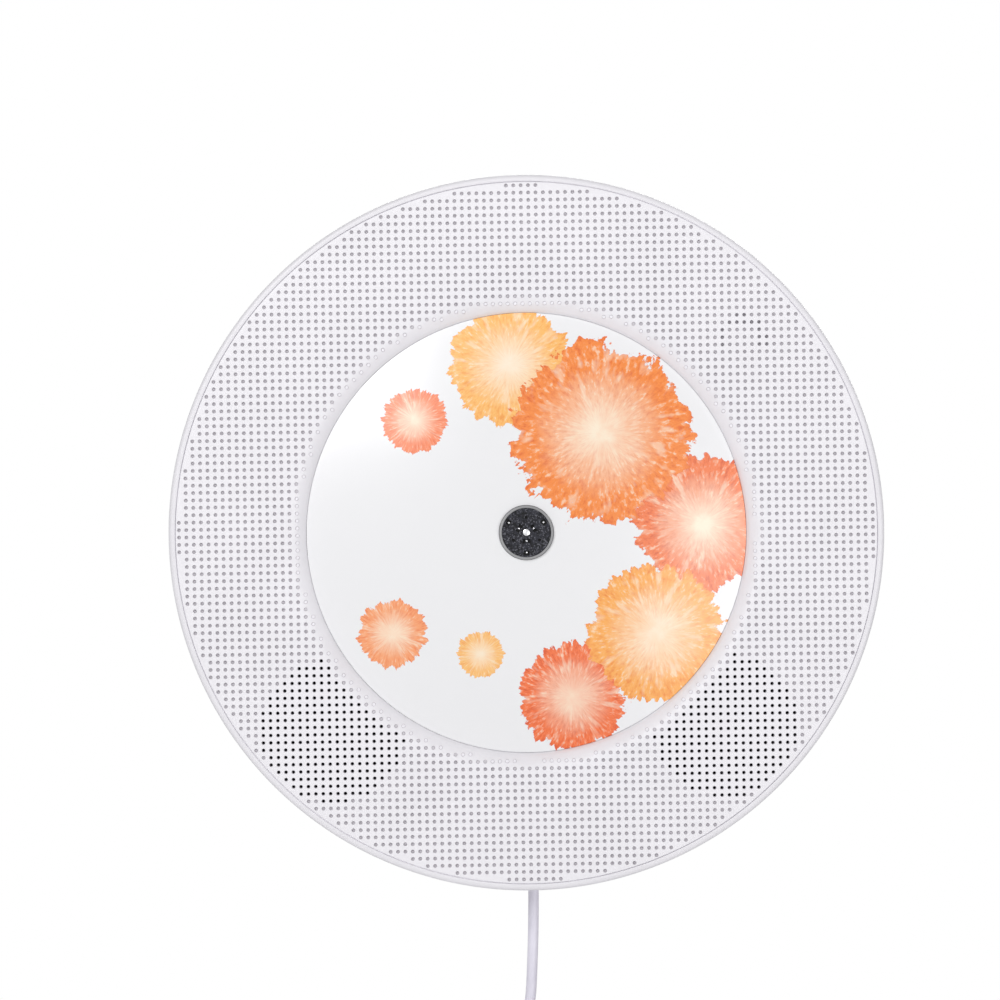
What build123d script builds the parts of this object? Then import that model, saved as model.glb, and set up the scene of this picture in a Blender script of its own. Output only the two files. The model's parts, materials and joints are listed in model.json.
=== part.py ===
from build123d import *
import math
import os

# A wall mounted CD player, in millimetres. X is to the right as the player is looked at, +Z is up,
# and +Y goes into the wall. The origin is on the wall, at the middle of the bracket's back face.
# A depth is the distance from the wall towards the room, so a point at depth d has y = -d.

os.makedirs("parts", exist_ok=True)

# ---------------------------------------------------------------- driving dimensions
body_radius = 97.5
front_depth = 42.0  # the front face, from the wall
wall_gap = 2.0  # between the wall and the housing's back
side_lean = 0.105  # how much the side wall draws in per millimetre towards the wall
shell_wall = 2.0
back_round = 10.0
rim_round = 0.9
rim_width = 1.8  # of the housing's edge, as it shows round the front panel
groove = 0.3  # between that edge and the front panel
seam_depth = 12.0  # where the rear housing ends and the side band begins

panel_wall = 2.0
panel_skirt_depth = 8.2  # how far the panel's outer skirt reaches back from the face

disc_radius = 60.0
disc_bore_radius = 7.5
disc_thickness = 1.2
disc_sunk = 3.3  # the disc's face lies this far behind the front face
well_clearance = 0.4  # between the disc's edge and the well
lip_width = 5.2
lip_drop = 3.4
disc_over_deck = 2.0
deck_wall = 2.0

hole_pitch = 2.0
hole_size = 0.9
speaker_radius = 18.8
speaker_circle = 75.5  # distance of each speaker's axis from the player's axis
open_field_radius = 9.2  # of the through holes over each speaker
speaker_behind = 7.0  # from the front panel's back to the speaker's front edge
speaker_height = 21.5
magnet_radius = 12.0
magnet_height = 8.5
cone_travel = 0.8

plate_width = 84.0
plate_height = 44.0
plate_wall = 1.5
wall_screw_spacing = 72.0
wall_screw_radius = 2.25
hook_spacing = 46.0
hook_width = 12.0
hook_lip = 7.0
lift_travel = 7.5
recess_drop = 3.0  # how deep the bracket's recess is in the housing's back

shaft_radius = 1.0
hub_radius = 7.4
turntable_radius = 14.0
hub_proud = 1.1  # the hub's top, above the disc's face
running_gap = 0.05  # radial, round shafts and rods
press_gap = 0.02  # radial, where one part is pushed into another
free_gap = 0.3  # between neighbours that never touch

chassis_behind = 15.5  # from the deck's back to the mechanism plate's front
chassis_wall = 1.5
rod_radius = 1.5
rod_spacing = 34.0
rod_behind = 7.0  # from the deck's back to the rods' axes
sled_start = 24.0  # the lens from the disc's axis, at the innermost track
sled_travel = 33.5
lens_radius = 2.2

gear_module = 0.6
rack_gear_teeth = 10
wheel_teeth = 30
pinion_teeth = 8
axle_radius = 1.5  # of the drive gear
gear_place = -30.0  # the drive gear's axis, across
rack_pitch_line = -24.0

board_wall = 1.6
button_pitch = 11.0
button_count = 5
button_width = 8.0
button_depth_size = 4.4
button_depth = 20.0
button_proud = 0.9
button_travel = 0.5

lead_diameter = 2.9
lead_sides = 10  # of a free stretch's section
coil_sides = 6
lead_exit_across = 0.6
lead_depth = 20.0
stem_radius = 2.7
spring_length = 10.0

exit_inset = 0.19  # of the guide's mouth, behind the housing's surface

jack_across = -26.0
jack_radius = 1.8
jack_length = 12.0
jack_sunk = 3.5  # how far its mouth lies behind the housing's surface

sensor_across = 59.5
sensor_height = 53.2
sensor_ring_radius = 6.0

housing_screw_circle = 85.0
housing_screw_angles = (30.0, 150.0, 240.0, 300.0)
screw_radius = 1.5
screw_head_radius = 2.8
screw_head_height = 2.0
few_sides = 8  # of a small post, boss, hole or screw that repeats

# ---------------------------------------------------------------- worked out from them
disc_front = front_depth - disc_sunk
disc_back = disc_front - disc_thickness
deck_front = disc_back - disc_over_deck
deck_back = deck_front - deck_wall
well_radius = disc_radius + well_clearance
well_outer = well_radius + panel_wall
panel_back = front_depth - panel_wall
panel_radius = body_radius - rim_width - groove
speaker_depth = panel_back - speaker_behind
magnet_back = speaker_depth - speaker_height
chassis_depth = deck_back - chassis_behind
rod_depth = deck_back - rod_behind
rack_gear_radius = gear_module * rack_gear_teeth / 2
gear_height = rack_pitch_line - rack_gear_radius
wheel_radius = gear_module * wheel_teeth / 2
pinion_radius = gear_module * pinion_teeth / 2
pinion_place = gear_place + wheel_radius + pinion_radius
floor_depth = wall_gap + shell_wall
recess_depth = wall_gap + recess_drop
recess_floor = recess_depth + shell_wall + 0.2
hub_front = disc_front + hub_proud
speaker_places = [
    (side * speaker_circle * math.cos(math.radians(45)), -speaker_circle * math.sin(math.radians(45)))
    for side in (-1, 1)
]
housing_screw_places = [
    (housing_screw_circle * math.cos(math.radians(a)), housing_screw_circle * math.sin(math.radians(a)))
    for a in housing_screw_angles
]
damper_places = [(15.0, 29.0), (15.0, -31.0), (-60.0, 29.0), (-60.0, -29.0)]
button_places = [(i - (button_count - 1) / 2) * button_pitch for i in range(button_count)]


def side_radius(depth):
    """Radius of the housing's outside at a depth."""
    return body_radius - side_lean * (front_depth - depth)


def underside(across):
    """Height of the housing's lower edge, where the lead and the jack are, at a place across."""
    return -math.sqrt(side_radius(lead_depth) ** 2 - across**2)


def at_depth(depth):
    """The plane at a depth, looked at from the room: its x is X and its y is Z."""
    return Plane.XZ.offset(depth)


def upright(height):
    """The level plane at a height: its x is X and its y is Y."""
    return Plane.XY.offset(height)


def turn(points, across=0.0, height=0.0):
    """Inside a part: a solid turned about an axis square to the wall, from (radius, depth) points."""
    with BuildSketch(Plane(origin=(across, 0, height), x_dir=(1, 0, 0), z_dir=(0, 0, 1))) as profile:
        with BuildLine():
            Polyline(*[(radius, -depth) for radius, depth in points], close=True)
        make_face()
    revolve(profile.sketch, axis=Axis((across, 0, height), (0, 1, 0)))


def quarter_round(radius, depth, wide, deep, count, from_top=False):
    """(radius, depth) points on a quarter ellipse, from its side to its top, or the other way."""
    angles = [math.pi / 2 * i / count for i in range(count + 1)]
    points = [(radius + wide * math.cos(a), depth + deep * math.sin(a)) for a in angles]
    return points[::-1] if from_top else points


def keep(part, label):
    """Labels a finished piece and writes it."""
    part.label = label
    export_step(part, f"parts/{label}.step")


def gear_outline(teeth, turned):
    """Corner points of a gear's outline, its first tooth at the angle turned, in degrees."""
    pitch_radius = gear_module * teeth / 2
    root = pitch_radius - 1.15 * gear_module
    tip = pitch_radius + 0.9 * gear_module
    step = 360.0 / teeth
    corners = []
    for i in range(teeth):
        middle = turned + i * step
        for radius, share in ((root, -0.27), (tip, -0.10), (tip, 0.10), (root, 0.27)):
            angle = math.radians(middle + share * step)
            corners.append((radius * math.cos(angle), radius * math.sin(angle)))
    return corners


# ---------------------------------------------------------------- wall bracket
# A steel plate with two hooks. Each hook is a shelf through the housing's back with a lip turned up.
hook_top = -1.0
shelf_wall = 1.5
lip_back = recess_floor + free_gap
with BuildPart() as wall_bracket:
    with BuildSketch(at_depth(0)):
        RectangleRounded(plate_width, plate_height, 5)
        with Locations((-wall_screw_spacing / 2, 0), (wall_screw_spacing / 2, 0)):
            Circle(wall_screw_radius, mode=Mode.SUBTRACT)
    extrude(amount=plate_wall)
    hook_middles = [(-hook_spacing / 2, 0), (hook_spacing / 2, 0)]
    with BuildSketch(at_depth(plate_wall)):
        with Locations((0, hook_top - shelf_wall / 2)):
            with Locations(*hook_middles):
                Rectangle(hook_width, shelf_wall)
    extrude(amount=lip_back + shelf_wall - plate_wall)
    with BuildSketch(at_depth(lip_back)):
        with Locations((0, hook_top + hook_lip / 2)):
            with Locations(*hook_middles):
                Rectangle(hook_width, hook_lip)
    extrude(amount=shelf_wall)
keep(wall_bracket.part, "wall_bracket")

# ---------------------------------------------------------------- rear housing
# A turned dish with a tongue that locates the side band.
step_depth = front_depth - panel_skirt_depth - free_gap
rim_inside = body_radius - rim_width
post_front = 22.0
post_radius = 4.8
seat_depth = 16.0  # where the screw heads bear
recess_width = plate_width + 6.0
recess_top = plate_height / 2 + 2.0
recess_bottom = -(plate_height / 2 + lift_travel + 3.0)
slot_height = shelf_wall + hook_lip + 1.0
guide_bottom = underside(0) + exit_inset
guide_top = guide_bottom + 4.2
jack_mouth = underside(jack_across) + jack_sunk
board_back = 10.0
board_posts = [(-32.0, 41.0), (32.0, 41.0), (0.0, 73.0)]
button_board_top = body_radius - 17.0
button_board_back = 13.0
rib_front = lead_depth - 5.0
tongue_wall = 1.2
tongue_height = 1.6
seam_inside = side_radius(seam_depth) - shell_wall
switch_across = lead_exit_across + 9.5
heel_depth = wall_gap + back_round
inner_heel = back_round - shell_wall
with BuildPart() as rear_housing:
    turn(
        [(0, wall_gap)]
        + quarter_round(side_radius(heel_depth) - back_round, heel_depth, back_round, -back_round, 3, True)
        + [
            (seam_inside - 0.1, seam_depth),
            (seam_inside - 0.1, seam_depth + tongue_height),
            (seam_inside - 0.1 - tongue_wall, seam_depth + tongue_height),
            (seam_inside - 0.1 - tongue_wall, heel_depth),
        ]
        + quarter_round(side_radius(heel_depth) - back_round, heel_depth, inner_heel, -inner_heel, 2)[1:]
        + [(0, floor_depth)]
    )
    # the raised floor round the bracket's recess
    with BuildSketch(at_depth(wall_gap + 1.0)):
        with Locations((0, (recess_top + recess_bottom) / 2)):
            RectangleRounded(recess_width + 2 * shell_wall, recess_top - recess_bottom + 2 * shell_wall, 7)
    extrude(amount=recess_floor - wall_gap - 1.0)
    # posts: four take the screws from behind, three carry the main board
    with BuildSketch(at_depth(floor_depth - 0.5)):
        with Locations(*housing_screw_places):
            RegularPolygon(post_radius, few_sides)
    extrude(amount=post_front - floor_depth + 0.5)
    with BuildSketch(at_depth(floor_depth - 0.5)):
        with Locations(*board_posts):
            RegularPolygon(3, few_sides)
    extrude(amount=board_back - floor_depth + 0.5)
    # ribs: two for the button board, one each for the jack and the pull switch
    with BuildSketch(at_depth(floor_depth - 0.5)):
        with Locations((-27, button_board_top + 1.5), (27, button_board_top + 1.5)):
            Rectangle(2.5, 6)
    extrude(amount=button_board_back - floor_depth + 0.5)
    with BuildSketch(at_depth(floor_depth - 0.5)):
        with Locations((jack_across, jack_mouth + 10), (switch_across, guide_top + 12.8)):
            Rectangle(6, 9)
    extrude(amount=rib_front - floor_depth + 0.5)
    # the recess and its two hook slots
    with BuildSketch(at_depth(wall_gap)):
        with Locations((0, (recess_top + recess_bottom) / 2)):
            RectangleRounded(recess_width, recess_top - recess_bottom, 5)
    extrude(amount=recess_drop, mode=Mode.SUBTRACT)
    with BuildSketch(at_depth(recess_depth)):
        with Locations((0, hook_top - slot_height / 2)):
            with Locations(*hook_middles):
                Rectangle(hook_width + 1.5, slot_height)
    extrude(amount=recess_floor - recess_depth, mode=Mode.SUBTRACT)
    # screw pockets from behind
    with BuildSketch(at_depth(wall_gap)):
        with Locations(*housing_screw_places):
            RegularPolygon(screw_head_radius + 0.5, few_sides)
    extrude(amount=seat_depth - wall_gap, mode=Mode.SUBTRACT)
    with BuildSketch(at_depth(seat_depth)):
        with Locations(*housing_screw_places):
            RegularPolygon(screw_radius + 0.2, few_sides)
    extrude(amount=post_front - seat_depth, mode=Mode.SUBTRACT)
keep(rear_housing.part, "rear_housing")

# ---------------------------------------------------------------- side band
# A turned ring held between the rear housing and the front panel, whose rim stands round the panel.
window_height = body_radius - 9.5
guide_radius = 4.1
collar_radius = 3.6
with BuildPart() as side_band:
    turn(
        [
            (side_radius(seam_depth), seam_depth),
            (body_radius, front_depth - rim_round),
            (body_radius - rim_round, front_depth),
            (rim_inside, front_depth),
            (rim_inside, step_depth),
            (side_radius(step_depth) - shell_wall, step_depth),
            (seam_inside, seam_depth),
        ]
    )
    # windows: buttons on top, jack and lead below
    with BuildSketch(upright(window_height)):
        with Locations(*[(x, -button_depth) for x in button_places]):
            SlotOverall(button_width + 2 * free_gap, button_depth_size + 2 * free_gap)
    extrude(amount=15, mode=Mode.SUBTRACT)
    with BuildSketch(upright(-window_height + 3)):
        with Locations((lead_exit_across, -lead_depth)):
            Circle(guide_radius + press_gap)
        with Locations((jack_across, -lead_depth)):
            Circle(collar_radius + free_gap)
    extrude(amount=-18, mode=Mode.SUBTRACT)
keep(side_band.part, "side_band")

# ---------------------------------------------------------------- front panel
# A turned moulding: flat ring, outer skirt, and a lip rolled down into the well's wall.
lip_start = well_radius + lip_width
skirt_back = front_depth - panel_skirt_depth
skirt_wall = 1.8
duct_inner = speaker_radius - 1.4
duct_outer = speaker_radius + 0.4


def open_holes(place):
    """Grid points over one speaker, where the front's holes go right through."""
    points = []
    reach = int(speaker_circle / hole_pitch) + 12
    for i in range(-reach, reach + 1):
        for j in range(-reach, reach + 1):
            x, z = i * hole_pitch, j * hole_pitch
            near = math.hypot(x - place[0], z - place[1]) < open_field_radius
            if near and lip_start < math.hypot(x, z) < panel_radius - 1.2:
                points.append((x, z))
    return points


with BuildPart() as front_panel:
    turn(
        quarter_round(lip_start, front_depth - lip_drop, -lip_width, lip_drop, 4)
        + [
            (panel_radius, front_depth),
            (panel_radius, skirt_back),
            (panel_radius - skirt_wall, skirt_back),
            (panel_radius - skirt_wall, panel_back),
            (lip_start, panel_back),
            (well_outer, panel_back - lip_drop),
            (well_outer, deck_front),
            (well_radius, deck_front),
        ]
    )
    # bosses for the housing screws
    with BuildSketch(at_depth(post_front)):
        with Locations(*housing_screw_places):
            RegularPolygon(3.2, few_sides)
    extrude(amount=panel_back - post_front + 0.5)
    with BuildSketch(at_depth(post_front)):
        with Locations(*housing_screw_places):
            RegularPolygon(screw_radius + running_gap, few_sides)
    extrude(amount=13, mode=Mode.SUBTRACT)
    # a duct from each speaker's edge to the open holes, between the well and the skirt
    with BuildSketch(at_depth(speaker_depth)):
        with Locations(*speaker_places):
            Circle(duct_outer)
            Circle(duct_inner, mode=Mode.SUBTRACT)
        Circle(panel_radius - skirt_wall - 0.6, mode=Mode.INTERSECT)
        Circle(well_outer + 3.2, mode=Mode.SUBTRACT)
    extrude(amount=panel_back - speaker_depth + 0.5)
    # the ring that holds the sensor's board
    with BuildSketch(at_depth(panel_back - 6)):
        with Locations((sensor_across, sensor_height)):
            RegularPolygon(sensor_ring_radius + 0.8, 12)
            RegularPolygon(sensor_ring_radius - 0.8, 12, mode=Mode.SUBTRACT)
    extrude(amount=6.5)
    # the through holes over the speakers
    with BuildSketch(at_depth(panel_back - 1)):
        with Locations(*[hole for place in speaker_places for hole in open_holes(place)]):
            Rectangle(hole_size, hole_size)
    extrude(amount=panel_wall + 2, mode=Mode.SUBTRACT)
keep(front_panel.part, "front_panel")

# ---------------------------------------------------------------- deck plate
# The well's floor, with the window for the lens, an opening for the hub's sleeve and four posts behind.
damper_front = chassis_depth + 3.5
sleeve_radius = 4.5
holder_radius = 5.4
with BuildPart() as deck_plate:
    with BuildSketch(at_depth(deck_back)):
        Circle(well_outer + 2.2)
        with Locations(*damper_places):
            RegularPolygon(4.2, few_sides)
        Circle(sleeve_radius + 1.2, mode=Mode.SUBTRACT)
        window_near = -(sled_start - holder_radius - 0.8)
        window_far = -(sled_start + sled_travel + holder_radius + 0.6)
        with Locations(((window_near + window_far) / 2, 0)):
            SlotOverall(window_near - window_far, 2 * (holder_radius + 0.7), mode=Mode.SUBTRACT)
    extrude(amount=deck_wall)
    with BuildSketch(at_depth(deck_back + 0.5)):
        with Locations(*damper_places):
            RegularPolygon(3, few_sides)
    extrude(amount=-(deck_back + 0.5 - damper_front))
    with BuildSketch(at_depth(damper_front)):
        with Locations(*damper_places):
            RegularPolygon(screw_radius + running_gap, few_sides)
    extrude(amount=8, mode=Mode.SUBTRACT)
keep(deck_plate.part, "deck_plate")

# ---------------------------------------------------------------- housing screws
with BuildPart() as housing_screws:
    with BuildSketch(at_depth(seat_depth)):
        with Locations(*housing_screw_places):
            RegularPolygon(screw_head_radius, few_sides)
    extrude(amount=-screw_head_height)
    with BuildSketch(at_depth(seat_depth)):
        with Locations(*housing_screw_places):
            RegularPolygon(screw_radius, few_sides)
    extrude(amount=14)
    with BuildSketch(at_depth(seat_depth - screw_head_height)):
        with Locations(*housing_screw_places):
            Rectangle(3.2, 0.8)
            Rectangle(0.8, 3.2)
    extrude(amount=1.2, mode=Mode.SUBTRACT)
keep(housing_screws.part, "housing_screws")

# ---------------------------------------------------------------- wall pads
pad_reach = 52.0  # of each pad's middle, across and up
pad_radius = 5.0
with BuildPart() as wall_pads:
    with BuildSketch(at_depth(wall_gap)):
        with Locations(*[(i * pad_reach, j * pad_reach) for i in (-1, 1) for j in (-1, 1)]):
            RegularPolygon(pad_radius, 12)
    extrude(amount=-wall_gap)
keep(wall_pads.part, "wall_pads")

# ---------------------------------------------------------------- mechanism chassis
# A plate on rubber bushes. Four posts with bores hold the guide rods.
rod_post_width = 3.0
sled_width = 16.0
rod_post_places = [
    (-(sled_start - sled_width / 2 - 2.0 - rod_post_width / 2), 0),
    (-(sled_start + sled_travel + sled_width / 2 + 2.0 + rod_post_width / 2), 0),
]
rod_heights = (-rod_spacing / 2, rod_spacing / 2)
with BuildPart() as mechanism_chassis:
    with BuildSketch(at_depth(chassis_depth - chassis_wall)):
        with Locations((-25, -1)):
            RectangleRounded(92, 70, 4)
        with Locations((-45, 2)):
            RectangleRounded(30, 24, 2, mode=Mode.SUBTRACT)
        Circle(4.3, mode=Mode.SUBTRACT)
        with Locations((gear_place, gear_height)):
            Circle(axle_radius + running_gap, mode=Mode.SUBTRACT)
        with Locations(*damper_places):
            RegularPolygon(screw_radius + 0.3, few_sides, mode=Mode.SUBTRACT)
    extrude(amount=chassis_wall)
    with BuildSketch(at_depth(chassis_depth)):
        for height in rod_heights:
            with Locations((0, height)):
                with Locations(*rod_post_places):
                    Rectangle(rod_post_width, 6)
    extrude(amount=rod_depth + 2.5 - chassis_depth)
    with BuildSketch(Plane.YZ.offset(rod_post_places[1][0] - rod_post_width)):
        with Locations(*[(-rod_depth, height) for height in rod_heights]):
            Circle(rod_radius + press_gap)
    extrude(amount=rod_post_places[0][0] - rod_post_places[1][0] + 2 * rod_post_width, mode=Mode.SUBTRACT)
    # the hole for the sled motor's shaft
    with BuildSketch(at_depth(chassis_depth - chassis_wall)):
        with Locations((pinion_place, gear_height)):
            Circle(2.2)
    extrude(amount=chassis_wall, mode=Mode.SUBTRACT)
keep(mechanism_chassis.part, "mechanism_chassis")

with BuildPart() as guide_rods:
    with BuildSketch(Plane.YZ.offset(rod_post_places[1][0] - rod_post_width / 2)):
        with Locations(*[(-rod_depth, height) for height in rod_heights]):
            Circle(rod_radius)
    extrude(amount=rod_post_places[0][0] - rod_post_places[1][0] + rod_post_width)
keep(guide_rods.part, "guide_rods")

with BuildPart() as damper_bushes:
    with BuildSketch(at_depth(chassis_depth)):
        with Locations(*damper_places):
            RegularPolygon(4, few_sides)
            RegularPolygon(screw_radius + 0.3, few_sides, mode=Mode.SUBTRACT)
    extrude(amount=damper_front - chassis_depth)
keep(damper_bushes.part, "damper_bushes")

with BuildPart() as damper_screws:
    with BuildSketch(at_depth(chassis_depth - chassis_wall)):
        with Locations(*damper_places):
            RegularPolygon(screw_head_radius, few_sides)
    extrude(amount=-screw_head_height)
    with BuildSketch(at_depth(chassis_depth - chassis_wall)):
        with Locations(*damper_places):
            RegularPolygon(screw_radius, few_sides)
    extrude(amount=12)
keep(damper_screws.part, "damper_screws")

# ---------------------------------------------------------------- spindle
motor_back = recess_floor + 0.6
shaft_back = motor_back + 2.5
motor_front = chassis_depth - chassis_wall
with BuildPart() as spindle_motor:
    turn(
        [
            (0, motor_back),
            (11.5, motor_back),
            (12, motor_back + 0.5),
            (12, motor_front),
            (4.2, motor_front),
            (4.2, chassis_depth + 0.8),
            (shaft_radius + running_gap, chassis_depth + 0.8),
            (shaft_radius + running_gap, shaft_back - 0.3),
            (0, shaft_back - 0.3),
        ]
    )
keep(spindle_motor.part, "spindle_motor")

with BuildPart() as spindle_shaft:
    with BuildSketch(at_depth(shaft_back)):
        Circle(shaft_radius)
    extrude(amount=hub_front - shaft_back)
keep(spindle_shaft.part, "spindle_shaft")

cap_radius = 6.7
cap_wall = 0.6
cap_back = hub_front - 0.1 - cap_wall
claw_width = 2.2
claw_root = 4.6
claw_angles = (30.0, 150.0, 270.0)
hub_back = chassis_depth + 4.0
with BuildPart() as spindle_hub:
    turn(
        [
            (shaft_radius + press_gap, hub_back),
            (sleeve_radius, hub_back),
            (sleeve_radius, deck_front + 0.4),
            (turntable_radius, deck_front + 0.4),
            (turntable_radius, disc_back),
            (hub_radius, disc_back),
            (hub_radius, hub_front - 0.5),
            (hub_radius - 0.5, hub_front),
            (cap_radius + 0.05, hub_front),
            (cap_radius + 0.05, cap_back),
            (shaft_radius + press_gap, cap_back),
        ]
    )
    # three channels, open outwards and towards the cap, where the claws slide
    for angle in claw_angles:
        with BuildSketch(at_depth(disc_back)):
            with Locations(Location((0, 0), angle)):
                with Locations(((claw_root - 1.8 + hub_radius + 1) / 2, 0)):
                    Rectangle(hub_radius + 1 - claw_root + 1.8, claw_width + 2 * running_gap)
        extrude(amount=cap_back - disc_back, mode=Mode.SUBTRACT)
keep(spindle_hub.part, "spindle_hub")

with BuildPart() as hub_cap:
    with BuildSketch(at_depth(cap_back)):
        Circle(cap_radius)
        Circle(shaft_radius + press_gap, mode=Mode.SUBTRACT)
        for angle in claw_angles:
            with Locations(Location((0, 0), angle)):
                with Locations((5.6, 0)):
                    Rectangle(1.2, 1.3, mode=Mode.SUBTRACT)
                with Locations((2.25, 0)):
                    Rectangle(1.0, 1.9, mode=Mode.SUBTRACT)
    extrude(amount=cap_wall)
keep(hub_cap.part, "hub_cap")

nose_radius = disc_bore_radius - running_gap
for number, angle in enumerate(claw_angles, start=1):
    with BuildPart() as hub_claw:
        with BuildSketch(Plane.XY):
            with BuildLine():
                Polyline(
                    (claw_root, -(disc_back + 0.1)),
                    (nose_radius - 0.5, -(disc_back + 0.1)),
                    (nose_radius, -(disc_back + 0.5)),
                    (nose_radius, -(disc_back + 0.9)),
                    (nose_radius - 0.5, -(cap_back - 0.1)),
                    (claw_root, -(cap_back - 0.1)),
                    close=True,
                )
            make_face()
        extrude(amount=claw_width / 2, both=True)
    turned_claw = hub_claw.part.rotate(Axis.Y, -angle)
    keep(turned_claw, f"hub_claw_{number}")

with BuildPart() as disc:
    turn(
        [
            (disc_bore_radius, disc_back),
            (disc_radius, disc_back),
            (disc_radius, disc_front),
            (disc_bore_radius, disc_front),
        ]
    )
keep(disc.part, "disc")

# ---------------------------------------------------------------- pickup sled and its drive
rack_root = rack_pitch_line + 1.15 * gear_module
rack_tip = rack_pitch_line - 0.9 * gear_module
tooth_step = math.pi * gear_module
rack_teeth = 21
sled_back = chassis_depth + 4.0
sled_front = chassis_depth + 13.0
rack_front = chassis_depth + 7.0
with BuildPart() as pickup_sled:
    with BuildSketch(at_depth(sled_back)):
        with Locations((-sled_start, -1)):
            Rectangle(sled_width, 42)
    extrude(amount=sled_front - sled_back)
    with BuildSketch(at_depth(sled_front - 6)):
        with Locations((-sled_start, 0)):
            Circle(holder_radius + 0.6)
    extrude(amount=6, mode=Mode.SUBTRACT)
    with BuildSketch(Plane.YZ.offset(-(sled_start + sled_width))):
        with Locations(*[(-rod_depth, height) for height in rod_heights]):
            Circle(rod_radius + running_gap)
    extrude(amount=2 * sled_width, mode=Mode.SUBTRACT)
    # the rack: a bar along the sled's foot with teeth pointing down
    with BuildSketch(at_depth(sled_back)):
        first = gear_place + 0.5 * tooth_step - tooth_step
        corners = [(first - tooth_step / 2, rack_root + 2.6), (first - tooth_step / 2, rack_root)]
        for i in range(rack_teeth):
            middle = first + i * tooth_step
            for height, share in ((rack_root, -0.30), (rack_tip, -0.11), (rack_tip, 0.11), (rack_root, 0.30)):
                corners.append((middle + share * tooth_step, height))
        last = first + (rack_teeth - 0.5) * tooth_step
        corners += [(last, rack_root), (last, rack_root + 2.6)]
        with BuildLine():
            Polyline(*corners, close=True)
        make_face()
    extrude(amount=rack_front - sled_back)
keep(pickup_sled.part, "pickup_sled")

holder_back = sled_front - 4.0
holder_front = deck_back + 1.1
lens_back = holder_front - 1.2
with BuildPart() as lens_holder:
    turn(
        [
            (0, holder_back),
            (holder_radius - 0.6, holder_back),
            (holder_radius, holder_back + 0.6),
            (holder_radius, holder_front - 0.8),
            (holder_radius - 0.8, holder_front),
            (lens_radius + 0.05, holder_front),
            (lens_radius + 0.05, lens_back),
            (0, lens_back),
        ],
        across=-sled_start,
    )
keep(lens_holder.part, "lens_holder")

with BuildPart() as objective_lens:
    turn(
        [(0, lens_back), (lens_radius, lens_back), (lens_radius, lens_back + 1.0)]
        + [(lens_radius * 0.6, lens_back + 1.6), (0, lens_back + 1.8)],
        across=-sled_start,
    )
keep(objective_lens.part, "objective_lens")

wheel_back = chassis_depth + 0.6
wheel_front = wheel_back + 2.2
pinion_shaft_back = 11.0
pinion_shaft_radius = 0.9
with BuildPart() as drive_gear:
    with BuildSketch(at_depth(wheel_back)):
        with Locations((gear_place, gear_height)):
            with BuildLine(mode=Mode.PRIVATE) as wheel_line:
                Polyline(*gear_outline(wheel_teeth, 0.0), close=True)
            add(make_face(wheel_line.edges(), mode=Mode.PRIVATE))
    extrude(amount=wheel_front - wheel_back)
    with BuildSketch(at_depth(wheel_front - 0.5)):
        with Locations((gear_place, gear_height)):
            with BuildLine(mode=Mode.PRIVATE) as small_line:
                Polyline(*gear_outline(rack_gear_teeth, 90.0), close=True)
            add(make_face(small_line.edges(), mode=Mode.PRIVATE))
    extrude(amount=rack_front + 0.4 - wheel_front + 0.5)
    with BuildSketch(at_depth(chassis_depth - chassis_wall)):
        with Locations((gear_place, gear_height)):
            Circle(axle_radius)
    extrude(amount=wheel_back - chassis_depth + chassis_wall + 0.5)
keep(drive_gear.part, "drive_gear")

with BuildPart() as motor_pinion:
    with BuildSketch(at_depth(wheel_back)):
        with Locations((pinion_place, gear_height)):
            with BuildLine(mode=Mode.PRIVATE) as pinion_line:
                Polyline(*gear_outline(pinion_teeth, 180.0 + 180.0 / pinion_teeth), close=True)
            add(make_face(pinion_line.edges(), mode=Mode.PRIVATE))
    extrude(amount=wheel_front - wheel_back)
    with BuildSketch(at_depth(pinion_shaft_back)):
        with Locations((pinion_place, gear_height)):
            Circle(pinion_shaft_radius)
    extrude(amount=wheel_back + 0.5 - pinion_shaft_back)
keep(motor_pinion.part, "motor_pinion")

with BuildPart() as sled_motor:
    turn(
        [
            (0, motor_back),
            (7.0, motor_back),
            (7.5, motor_back + 0.5),
            (7.5, motor_front),
            (pinion_shaft_radius + running_gap, motor_front),
            (pinion_shaft_radius + running_gap, pinion_shaft_back - free_gap),
            (0, pinion_shaft_back - free_gap),
        ],
        across=pinion_place,
        height=gear_height,
    )
keep(sled_motor.part, "sled_motor")

# ---------------------------------------------------------------- speakers
frame_inner = speaker_radius - 2.4
cone_radius = frame_inner - free_gap
magnet_front = magnet_back + magnet_height
coil_back = magnet_front + 1.6  # of the voice coil
for side, (across, height) in zip(("left", "right"), speaker_places):
    with BuildPart() as frame:
        turn(
            [
                (frame_inner, speaker_depth),
                (speaker_radius, speaker_depth),
                (speaker_radius, speaker_depth - 1.4),
                (magnet_radius + 0.2, magnet_front),
                (4, magnet_front),
                (4, magnet_front + 1.2),
                (magnet_radius - 0.6, magnet_front + 1.2),
                (frame_inner, speaker_depth - 2.8),
            ],
            across,
            height,
        )
    keep(frame.part, f"{side}_speaker_frame")
    with BuildPart() as cone:
        turn(
            [
                (0, speaker_depth - 7.2),
                (5.0, speaker_depth - 8.0),
                (cone_radius - 1.4, speaker_depth - cone_travel),
                (cone_radius, speaker_depth - cone_travel),
                (cone_radius, speaker_depth - cone_travel - 0.7),
                (5.4, speaker_depth - 9.4),
                (3.6, coil_back),
                (3.0, coil_back),
                (0, speaker_depth - 8.0),
            ],
            across,
            height,
        )
    keep(cone.part, f"{side}_speaker_cone")

with BuildPart() as speaker_magnets:
    with BuildSketch(at_depth(magnet_back)):
        with Locations(*speaker_places):
            Circle(magnet_radius)
    extrude(amount=magnet_height)
keep(speaker_magnets.part, "speaker_magnets")

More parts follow.
